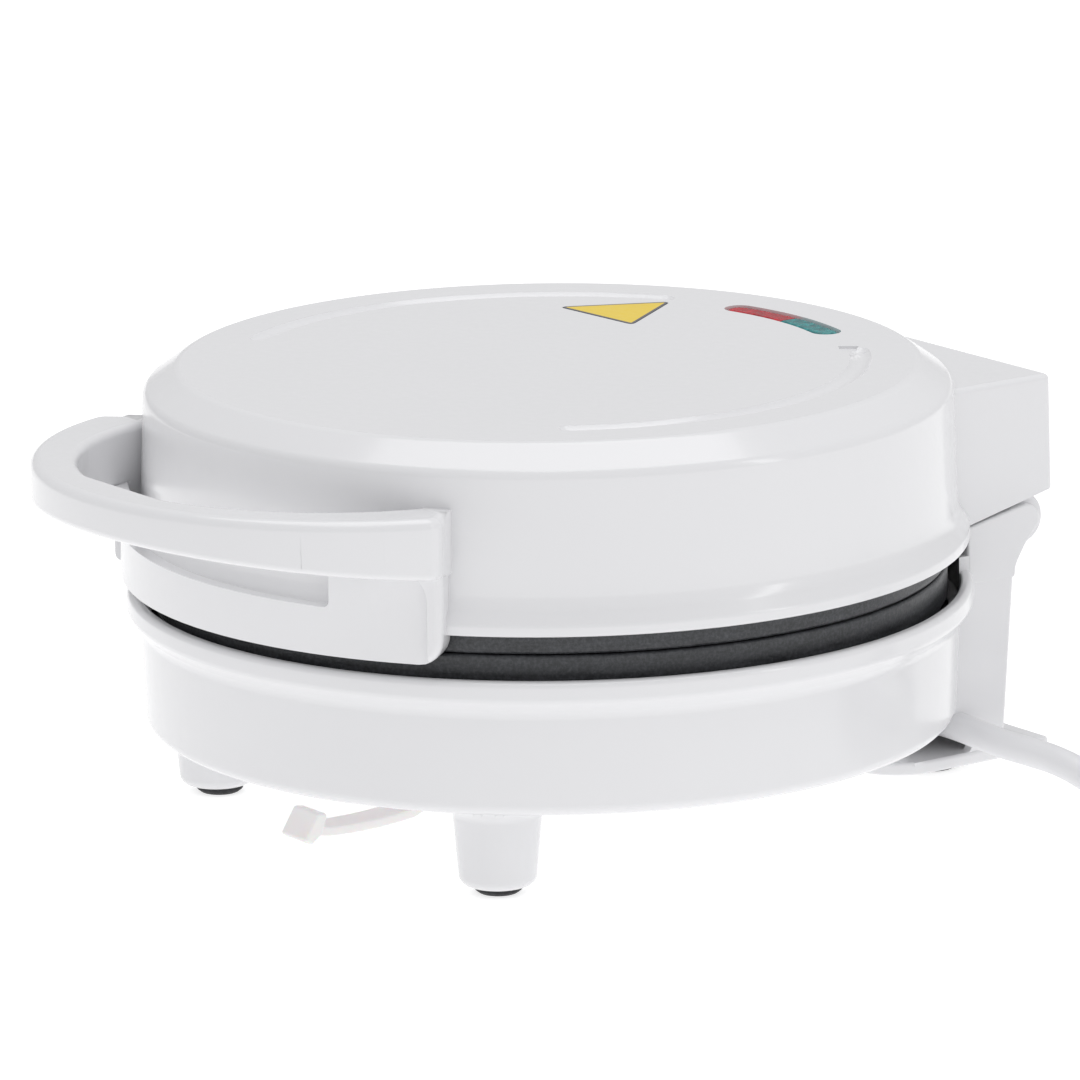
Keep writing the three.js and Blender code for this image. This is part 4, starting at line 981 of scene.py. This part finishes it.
def lid_moulding():
    shell = without(block_shell(), lathe([
        (0, 40), (LID_R - 1.5, 40), (LID_R - 1.8, LID_TOP - 7), (FLAT_R, LID_TOP - 1), (0, LID_TOP - 1),
    ], steps=90))
    whole = joined(dome(), joined(shell, barrel()))
    whole = joined(whole, panel())
    whole = joined(whole, handle())
    whole = without(whole, dome_room())
    for tool in groove_tools():
        whole = without(whole, tool)
    window = arc_slot(WINDOW_R, WINDOW_HALF, 90 - WINDOW_ANGLE, 90 + WINDOW_ANGLE)
    whole = without(whole, slab(window, LID_TOP - 5, LID_TOP + 2))
    whole = without(whole, slab(label_corners(LABEL_R + 0.3, 1.2), LID_TOP - 0.35, LID_TOP + 2))
    mark = slab([(41.5, 55.6, 0.4), (34.7, 65.5, 0.4), (31.5, 61.6, 0.4)], LID_TOP - 0.6, LID_TOP + 2)
    whole = without(whole, mark)
    return soften(whole, 0.35, lambda e: min(v.co.z for v in e.verts) > LID_TOP - 0.01,
                  segments=2, sharper_than=18)


piece(lid_moulding(), "lid_moulding", HOUSING, "lid", ["lid_housing"])

# %% [markdown]
# ## Non-stick coating
# The plates are cast aluminium under a dark non-stick coating. Sprayed coating is never black: it
# has fine light flecks and faint streaks, and it's half matt.

# %% Non-stick finish
def non_stick():
    material, tree, shader = start_finish("non_stick_coating", (0.035, 0.037, 0.041), 0.42)
    flecks = place_group(tree, grain, Scale=1300.0, Flecks=0.5)
    lines = place_group(tree, hairlines, Scale=22.0, Stretch=(3.0, 3.0, 24.0))
    mask = tree.nodes.new("ShaderNodeMath")
    mask.operation = "MULTIPLY_ADD"
    mask.inputs[1].default_value = 0.55
    tree.links.new(flecks.outputs["Mask"], mask.inputs[0])
    half = tree.nodes.new("ShaderNodeMath")
    half.operation = "MULTIPLY"
    half.inputs[1].default_value = 0.45
    tree.links.new(lines.outputs["Mask"], half.inputs[0])
    tree.links.new(half.outputs[0], mask.inputs[2])
    two_tone(tree, shader, mask.outputs[0], (0.012, 0.013, 0.015), (0.11, 0.115, 0.125))
    tree.links.new(remap(tree, lines.outputs["Mask"], 0.34, 0.5), shader.inputs["Roughness"])
    bump(tree, shader, flecks.outputs["Height"], 0.06)
    return material


NON_STICK = non_stick()

# %% [markdown]
# ## Cooking plates
# Both plates are the same casting, turned face to face. A shallow tray holds seven round pods, and
# a ring-shaped tool takes the batter's place out of each pod. The spine of a ring cake form is the
# middle of that ring.

# %% Cooking plates
RING_R, TUBE_R = 16.5, 9.5
POD_R, POD_DEEP = 28.6, 12.1
RING_CENTRES = [(0, 0)] + [
    (58 * math.cos(math.radians(60 * i)), 58 * math.sin(math.radians(60 * i))) for i in range(6)
]


def ring_tool():
    bm = bmesh.new()
    bmesh.ops.create_circle(bm, radius=TUBE_R, segments=48)
    bmesh.ops.rotate(bm, verts=bm.verts, cent=(0, 0, 0), matrix=Matrix.Rotation(math.pi / 2, 3, "X"))
    move(bm, x=RING_R)
    bmesh.ops.spin(bm, geom=bm.verts[:] + bm.edges[:], cent=(0, 0, 0), axis=(0, 0, 1),
                   dvec=(0, 0, 0), angle=math.tau, steps=72, use_merge=True)
    bmesh.ops.remove_doubles(bm, verts=bm.verts, dist=1e-4)
    bmesh.ops.recalc_face_normals(bm, faces=bm.faces)
    return bm


def cooking_plate():
    """Plate with its face at height 0 and its back upwards."""
    whole = lathe([
        (0, 0), (PLATE_R, 0, 0.8), (PLATE_R, 8, 0.5), (PLATE_R - 3, 8), (PLATE_R - 3, 2.6, 1.5), (0, 2.6),
    ], steps=180)
    for x, y in RING_CENTRES:
        pod = lathe([(0, 1.3), (POD_R, 1.3), (POD_R, POD_DEEP, 4), (0, POD_DEEP)], steps=72)
        whole = joined(whole, move(pod, x, y))
    for x, y in RING_CENTRES:
        whole = without(whole, move(ring_tool(), x, y))
    return soften(whole, 0.7, lambda e: max(v.co.z for v in e.verts) < 0.01
                  and max(v.co.xy.length for v in e.verts) < PLATE_R - 1.5, segments=3)


def set_plate(bm, face, upside_down):
    if upside_down:
        turn(bm, 180, "X")
    return move(bm, z=face)


plate_form = cooking_plate()
lower_form = set_plate(plate_form.copy(), LOWER_FACE, True)
piece(lower_form, "lower_cooking_plate", NON_STICK, "base", ["lower_plate"])
recesses = gathered([cone(3.6, 3.6, -1, 2.8, x, y) for x, y in screw_places(OUTER_SCREWS)])
upper_form = set_plate(without(plate_form, recesses), UPPER_FACE, False)
piece(upper_form, "upper_cooking_plate", NON_STICK, "lid", ["upper_plate"])

# %% [markdown]
# ## Lamp lenses
# The window holds two curved lenses of coloured plastic, red for power and green for ready. Each
# has a domed face, and a fine grain on its underside spreads the lamp's light.

# %% Lens finishes
def lens_finish(name, deep, bright):
    material, tree, shader = start_finish(name, deep, 0.16, Specular_IOR_Level=0.1)
    cells = place_group(tree, grain, Scale=520.0, Flecks=0.75)
    two_tone(tree, shader, cells.outputs["Mask"], deep, bright)
    tree.links.new(remap(tree, cells.outputs["Height"], 0.14, 0.32), shader.inputs["Roughness"])
    bump(tree, shader, cells.outputs["Height"], 0.22)
    return material


RED = lens_finish("red_lens", (0.30, 0.001, 0.008), (0.62, 0.012, 0.03))
GREEN = lens_finish("green_lens", (0.006, 0.13, 0.14), (0.04, 0.34, 0.34))


# %% Lamp lenses
def lens(node, side):
    """One half of the window's slot, cut off square where the two lenses meet."""
    low = box_mm(node)[0].z
    bm = slab(arc_slot(WINDOW_R, WINDOW_HALF - TOUCH, 90 - WINDOW_ANGLE, 90 + WINDOW_ANGLE),
              low, LID_TOP - 0.2)
    bmesh.ops.bisect_plane(bm, geom=bm.verts[:] + bm.edges[:] + bm.faces[:], dist=1e-4,
                           plane_co=(side * 0.15, 0, 0), plane_no=(-side, 0, 0), clear_outer=True)
    bmesh.ops.holes_fill(bm, edges=bm.edges[:])
    bmesh.ops.recalc_face_normals(bm, faces=bm.faces)
    return soften(bm, 1.5, lambda e: min(v.co.z for v in e.verts) > LID_TOP - 0.3
                  and max(abs(v.co.x) for v in e.verts) > 0.2, segments=4)


piece(lens("red_lens", -1), "red_lamp_lens", RED, "lid", ["red_lens"])
piece(lens("green_lens", 1), "green_lamp_lens", GREEN, "lid", ["green_lens"])

# %% [markdown]
# ## Label
# A yellow triangle warns that the lid gets hot. Here it's a plain triangle with a dark border: an
# inset makes the border's faces, and they get the second finish.

# %% Label
def label_ink(name, colour, shade):
    return moulded_finish(name, colour, shade, 0.32, 0.42, 60.0, 0.02)


def top_label():
    top = LID_TOP + 0.08
    bm = slab(label_corners(LABEL_R, 1.1), LID_TOP - 0.3, top)
    upper = [f for f in bm.faces if f.normal.z > 0.9]
    bmesh.ops.inset_region(bm, faces=upper, thickness=0.75, depth=0)
    for face in bm.faces:
        face.material_index = 1
    for face in upper:
        face.material_index = 0
    return bm


YELLOW = label_ink("label_yellow", (0.85, 0.62, 0.03), (0.80, 0.57, 0.025))
BORDER = label_ink("label_border", (0.10, 0.10, 0.12), (0.07, 0.07, 0.09))
piece(top_label(), "warning_triangle", [YELLOW, BORDER], "lid", ["top_label"])

# %% [markdown]
# ## Cord hook
# A strap of milky, springy plastic hangs under the bowl and holds the wound-up cord. Its side view
# is an S, so a ribbon follows the line of its middle, and a thicker T at its end stops the cord.

# %% Hook finish
def milky():
    material, tree, shader = start_finish("milky_plastic", (0.93, 0.93, 0.92), 0.35,
                                          Subsurface_Weight=0.3, Subsurface_Scale=0.004)
    skin = place_group(tree, moulded, Colour=(0.94, 0.94, 0.93, 1), Shade=(0.88, 0.88, 0.88, 1),
                       Gloss=0.3, Matt=0.45, Scale=70.0)
    tree.links.new(skin.outputs["Colour"], shader.inputs["Base Color"])
    tree.links.new(skin.outputs["Roughness"], shader.inputs["Roughness"])
    bump(tree, shader, skin.outputs["Height"], 0.15)
    return material


MILKY = milky()


# %% Cord hook
def offset_path(points, distance):
    """The line of points, moved sideways."""
    moved = []
    for i, point in enumerate(points):
        before, after = points[max(i - 1, 0)], points[min(i + 1, len(points) - 1)]
        along = (Vector(after) - Vector(before)).normalized()
        moved.append((point[0] - along.y * distance, point[1] + along.x * distance))
    return moved


def cord_hook():
    line = [
        (-30, HOOK_TOP - 0.3), (-31.2, 17.5), (-33, 13), (-35.5, 9.2), (-39, 6.4), (-43, 5),
        (-47, 4.6), (-52, 4.3), (-57, 4.2), (-62, 4.3), (-67, 4.6), (-72, 5.6),
    ]
    ribbon = offset_path(line, -1.2) + offset_path(line, 1.2)[::-1]
    strap = soften(side_slab(ribbon, -4, 4), 0.5, sharper_than=50)
    head = side_slab([(-68, 9.4, 0.8), (-71, 9.8, 1.0), (-75, 3.6, 0.8), (-72.7, 2.4, 0.8),
                      (-69.6, 4.4, 0.8)], -5, 5)
    return joined(strap, soften(head, 0.7, sharper_than=50))


piece(cord_hook(), "cord_strap", MILKY, "base", ["cord_hook"])

# %% [markdown]
# ## Strain relief, tie and plug
# Where the cord leaves the housing, a ribbed sleeve stops it from bending sharply. The plug is a
# round one with two pins. All three are lathes, turned to lie along their own stretch of cord.

# %% Strain relief
def cord_sleeve():
    neck = move(block(18, 30.5, -6, 6, -6, 10), y=exit_point.y, z=exit_point.z)
    profile = [(0, 0), (5.8, 0, 0.5)]
    for i in range(5):
        at, reach = 2.4 + 3.6 * i, 5.8 - 0.38 * i
        profile += [(reach, at), (reach - 0.9, at + 0.3), (reach - 0.95, at + 1.4), (reach - 0.1, at + 1.7)]
    profile += [(4.0, 19.4, 0.4), (CORD_R + 0.05, 20), (0, 20)]
    sleeve = turn(lathe(profile, steps=48, segments=2), 90, "Y")
    move(sleeve, 30, exit_point.y, exit_point.z)
    roof = block(29, 51, exit_point.y - 9, exit_point.y + 9, STAND - TOUCH, STAND + 5)
    return joined(soften(neck, 0.8), without(sleeve, roof))


def cord_part_finish(name):
    return moulded_finish(name, (0.80, 0.80, 0.81), (0.74, 0.74, 0.76), 0.3, 0.42, 60.0, 0.08)


SLEEVE = cord_part_finish("sleeve_plastic")
sleeve = piece(cord_sleeve(), "cord_sleeve", SLEEVE, "base", ["cord_gland"])

# %% Plug and its pins
PLUG_X = route[-1].x
PLUG_Y = box_mm("plug_body")[0].y


def along_y(corners, x, y, z, steps=64):
    """Lathe that lies along +Y from y."""
    return move(turn(lathe(corners, steps=steps, segments=4), -90, "X"), x, y, z)


def plug_form():
    body = [
        (0, 0), (5, 0, 0.8), (6.5, 12, 3), (9, 16, 4), (15, 20, 3), (PLUG_R, 24, 3),
        (PLUG_R, 40.5, 0.8), (17, 42, 0.6), (0, 42),
    ]
    return along_y(body, PLUG_X, PLUG_Y, PLUG_R)


def pin_form(side):
    return along_y([(0, 0), (2.4, 0), (2.4, 19, 1.1), (0, 19)], PLUG_X + side * 9.5,
                   PLUG_Y + 42 + TOUCH, PLUG_R, steps=32)

# %% [markdown]
# ## Metal
# Pins and screws are plated steel: bright, with fine scratches from the tumbler and the driver.
# Rolled sheet shows long streaks, and a heater's sheath is tinted by its first heating.

# %% Metal finishes
def metal(name, dark, light, rough, stretch, scale, depth_mm):
    material, tree, shader = start_finish(name, light, rough, Metallic=1.0)
    lines = place_group(tree, hairlines, Scale=scale, Stretch=stretch)
    two_tone(tree, shader, lines.outputs["Mask"], dark, light)
    worn = remap(tree, lines.outputs["Mask"], rough + 0.14, rough - 0.05)
    tree.links.new(worn, shader.inputs["Roughness"])
    bump(tree, shader, lines.outputs["Height"], depth_mm)
    return material


STEEL = metal("plated_steel", (0.48, 0.49, 0.50), (0.74, 0.75, 0.76), 0.26, (6, 6, 30), 60, 0.02)
SHEET = metal("aluminium_sheet", (0.70, 0.71, 0.72), (0.86, 0.87, 0.88), 0.34, (2, 30, 2), 30, 0.05)
SHEATH = metal("heater_sheath", (0.16, 0.13, 0.11), (0.42, 0.38, 0.35), 0.42, (8, 8, 8), 40, 0.05)
print("finishes", STEEL.name, SHEET.name, SHEATH.name)

# %% Rubber, ceramic and lamp glass
def rubber():
    material, tree, shader = start_finish("black_rubber", (0.018, 0.018, 0.02), 0.6)
    dust = place_group(tree, grain, Scale=900.0, Flecks=0.35)
    two_tone(tree, shader, dust.outputs["Mask"], (0.012, 0.012, 0.014), (0.05, 0.05, 0.055))
    bump(tree, shader, dust.outputs["Height"], 0.1)
    return material


RUBBER = rubber()
CERAMIC = moulded_finish("ceramic", (0.78, 0.75, 0.68), (0.70, 0.66, 0.58), 0.3, 0.5, 120.0, 0.08)
LAMP_GLASS = moulded_finish("lamp_glass", (0.85, 0.80, 0.72), (0.80, 0.74, 0.66), 0.05, 0.12, 150.0,
                            0.02, Transmission_Weight=0.6, IOR=1.5)

# %% [markdown]
# ## Foot pads, hinge pins and screws
# Small turned parts repeat, so each kind is one function that reads its node's box. A pan-head
# screw is a lathe with a cross cut into its head.

# %% Foot pads and hinge pins
def middle(node):
    low, high = box_mm(node)
    return low, high, (low + high) / 2


def pad(node):
    low, high, centre = middle(node)
    radius = (high.x - low.x) / 2
    rim = [(0, low.z), (radius - 2.4, low.z, 0.3), (radius - 2, low.z + 0.3, 0.3),
           (radius - 1.2, low.z, 0.4), (radius, low.z + 0.9, 0.7), (radius, high.z, 0.4), (0, high.z)]
    return move(lathe(rim, steps=64, segments=3), centre.x, centre.y)


def pin(node):
    low, high, centre = middle(node)
    radius = (high.z - low.z) / 2
    length = high.x - low.x
    rod = lathe([(0, 0), (radius, 0, 0.5), (radius, length, 0.5), (0, length)], steps=40, segments=3)
    return move(turn(rod, 90, "Y"), low.x, centre.y, centre.z)


for place_name in ("front_foot_pad_left", "front_foot_pad_right",
                   "rear_foot_pad_left", "rear_foot_pad_right"):
    piece(pad(place_name), "rubber_" + place_name, RUBBER, "base", [place_name])
for side in ("left", "right"):
    node = "hinge_pin_" + side
    piece(pin(node), "steel_" + node, STEEL, "base", [node])


# %% Screws
def screw_form(length):
    """Screw with its head at height 0 and its tip upwards."""
    head, shank = 3.3, 1.5
    profile = [(0, 0), (head - 1.1, 0, 1.2), (head, 1.5, 0.5), (head, 2.5), (shank, 2.5)]
    turns = int((length - 5) / 0.9)
    for i in range(turns):
        at = 3.1 + 0.9 * i
        profile += [(shank - 0.3, at), (shank, at + 0.45)]
    profile += [(shank - 0.4, length - 1.2), (0, length)]
    whole = lathe(profile, steps=24, segments=3)
    cross = gathered([block(-2.1, 2.1, -0.4, 0.4, -1, 1.3)])
    whole = without(whole, cross)
    return without(whole, block(-0.4, 0.4, -2.1, 2.1, -1, 1.3))


def set_screw(form, node, head_up, body):
    low, high, centre = middle(node)
    bm = form.copy()
    if head_up:
        turn(bm, 180, "X")
    move(bm, centre.x, centre.y, high.z if head_up else low.z)
    piece(bm, "steel_" + node, STEEL, body, [node])


long_low, long_high, _ = middle("base_screw_1")
short_low, short_high, _ = middle("lower_reflector_screw_1")
long_form = screw_form(long_high.z - long_low.z)
short_form = screw_form(short_high.z - short_low.z)
for i in (1, 2, 3):
    set_screw(long_form, f"base_screw_{i}", False, "base")
    set_screw(long_form, f"upper_plate_screw_{i}", False, "lid")
    set_screw(short_form, f"lower_reflector_screw_{i}", False, "base")
    set_screw(short_form, f"upper_reflector_screw_{i}", True, "lid")
long_form.free()
short_form.free()

# %% [markdown]
# ## Plug and tie
# The plug's body is moulded onto the cord, so it has the cord's colour with a glossier skin.
# The tie is a clip that holds the coil's turns together.

# %% Plug, pins and tie
PLUG_FINISH = cord_part_finish("plug_plastic")
plug = piece(plug_form(), "mains_plug", PLUG_FINISH, "base", ["plug_body"])
plug_pins = [
    piece(pin_form(side), f"plug_pin_{name}_steel", STEEL, "base", [f"plug_pin_{name}"])
    for side, name in ((-1, "left"), (1, "right"))
]


def tie_form():
    low, high, _ = middle("cord_tie")
    inside = CORD_R + 3 * TOUCH
    outside = inside + 1.4
    clip = side_slab([
        (-outside, low.z, 0.6), (-inside, low.z, 0.2), (-inside, high.z - 1.4, 1.2),
        (inside, high.z - 1.4, 1.2), (inside, low.z, 0.2), (outside, low.z, 0.6),
        (outside, high.z, 2), (-outside, high.z, 2),
    ], -3.5, 3.5)
    soften(clip, 0.4, sharper_than=50)
    turn(clip, -90, "Z")
    move(clip, x=COIL_R)
    turn(clip, 100, "Z")
    return move(clip, coil.x, coil.y)


tie = piece(tie_form(), "coil_tie", MILKY, "base", ["cord_tie"])

# %% [markdown]
# ## Parts out of sight
# The working model's own shapes are right for the parts inside, so they only get their finish.

# %% Finishes of the inner parts
inner_finishes = {
    "lower_heating_element": SHEATH, "upper_heating_element": SHEATH,
    "lower_reflector": SHEET, "upper_reflector": SHEET,
    "thermostat": CERAMIC, "terminal_block": CERAMIC, "lamp_holder": CERAMIC,
    "thermal_fuse": STEEL, "red_lamp": LAMP_GLASS, "green_lamp": LAMP_GLASS,
}
for node, finish in inner_finishes.items():
    for material_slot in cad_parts[node].material_slots:
        material_slot.material = finish
print("inner parts finished:", len(inner_finishes))

# %% [markdown]
# ## Floor and light
# A white object on a white ground is lit from all sides, and a large soft light above makes its top
# the brightest plane. A second soft light from the side draws the highlights along the round edges.

# %% Floor
floor_bm = bmesh.new()
bmesh.ops.create_grid(floor_bm, x_segments=1, y_segments=1, size=5)
floor_mesh = bpy.data.meshes.new("floor")
floor_bm.to_mesh(floor_mesh)
floor_bm.free()
floor = bpy.data.objects.new("floor", floor_mesh)
bpy.context.scene.collection.objects.link(floor)
paper, _, _ = start_finish("paper", (0.5, 0.5, 0.5), 0.9,
                           Emission_Color=(1, 1, 1, 1), Emission_Strength=0.72)
floor_mesh.materials.append(paper)

# %% World and soft lights
world = bpy.data.worlds.new("studio")
world.use_nodes = True
sky = world.node_tree.nodes["Background"]
sky.inputs["Color"].default_value = (0.99, 0.99, 1.0, 1)
sky.inputs["Strength"].default_value = 0.62
bpy.context.scene.world = world


def soft_light(name, position, size, power, colour=(1, 1, 1)):
    data = bpy.data.lights.new(name, "AREA")
    data.shape = "RECTANGLE"
    data.size, data.size_y = size
    data.energy = power
    data.color = colour
    light = bpy.data.objects.new(name, data)
    aim = (target - Vector(position)).to_track_quat("-Z", "Y")
    light.matrix_world = Matrix.Translation(position) @ aim.to_matrix().to_4x4()
    bpy.context.scene.collection.objects.link(light)


soft_light("top_light", (0.0, 0.1, 1.4), (1.2, 1.2), 8.0)
soft_light("side_light", (1.5, 0.8, 0.8), (0.2, 1.0), 2.0)
bpy.context.scene.view_settings.view_transform = "Standard"
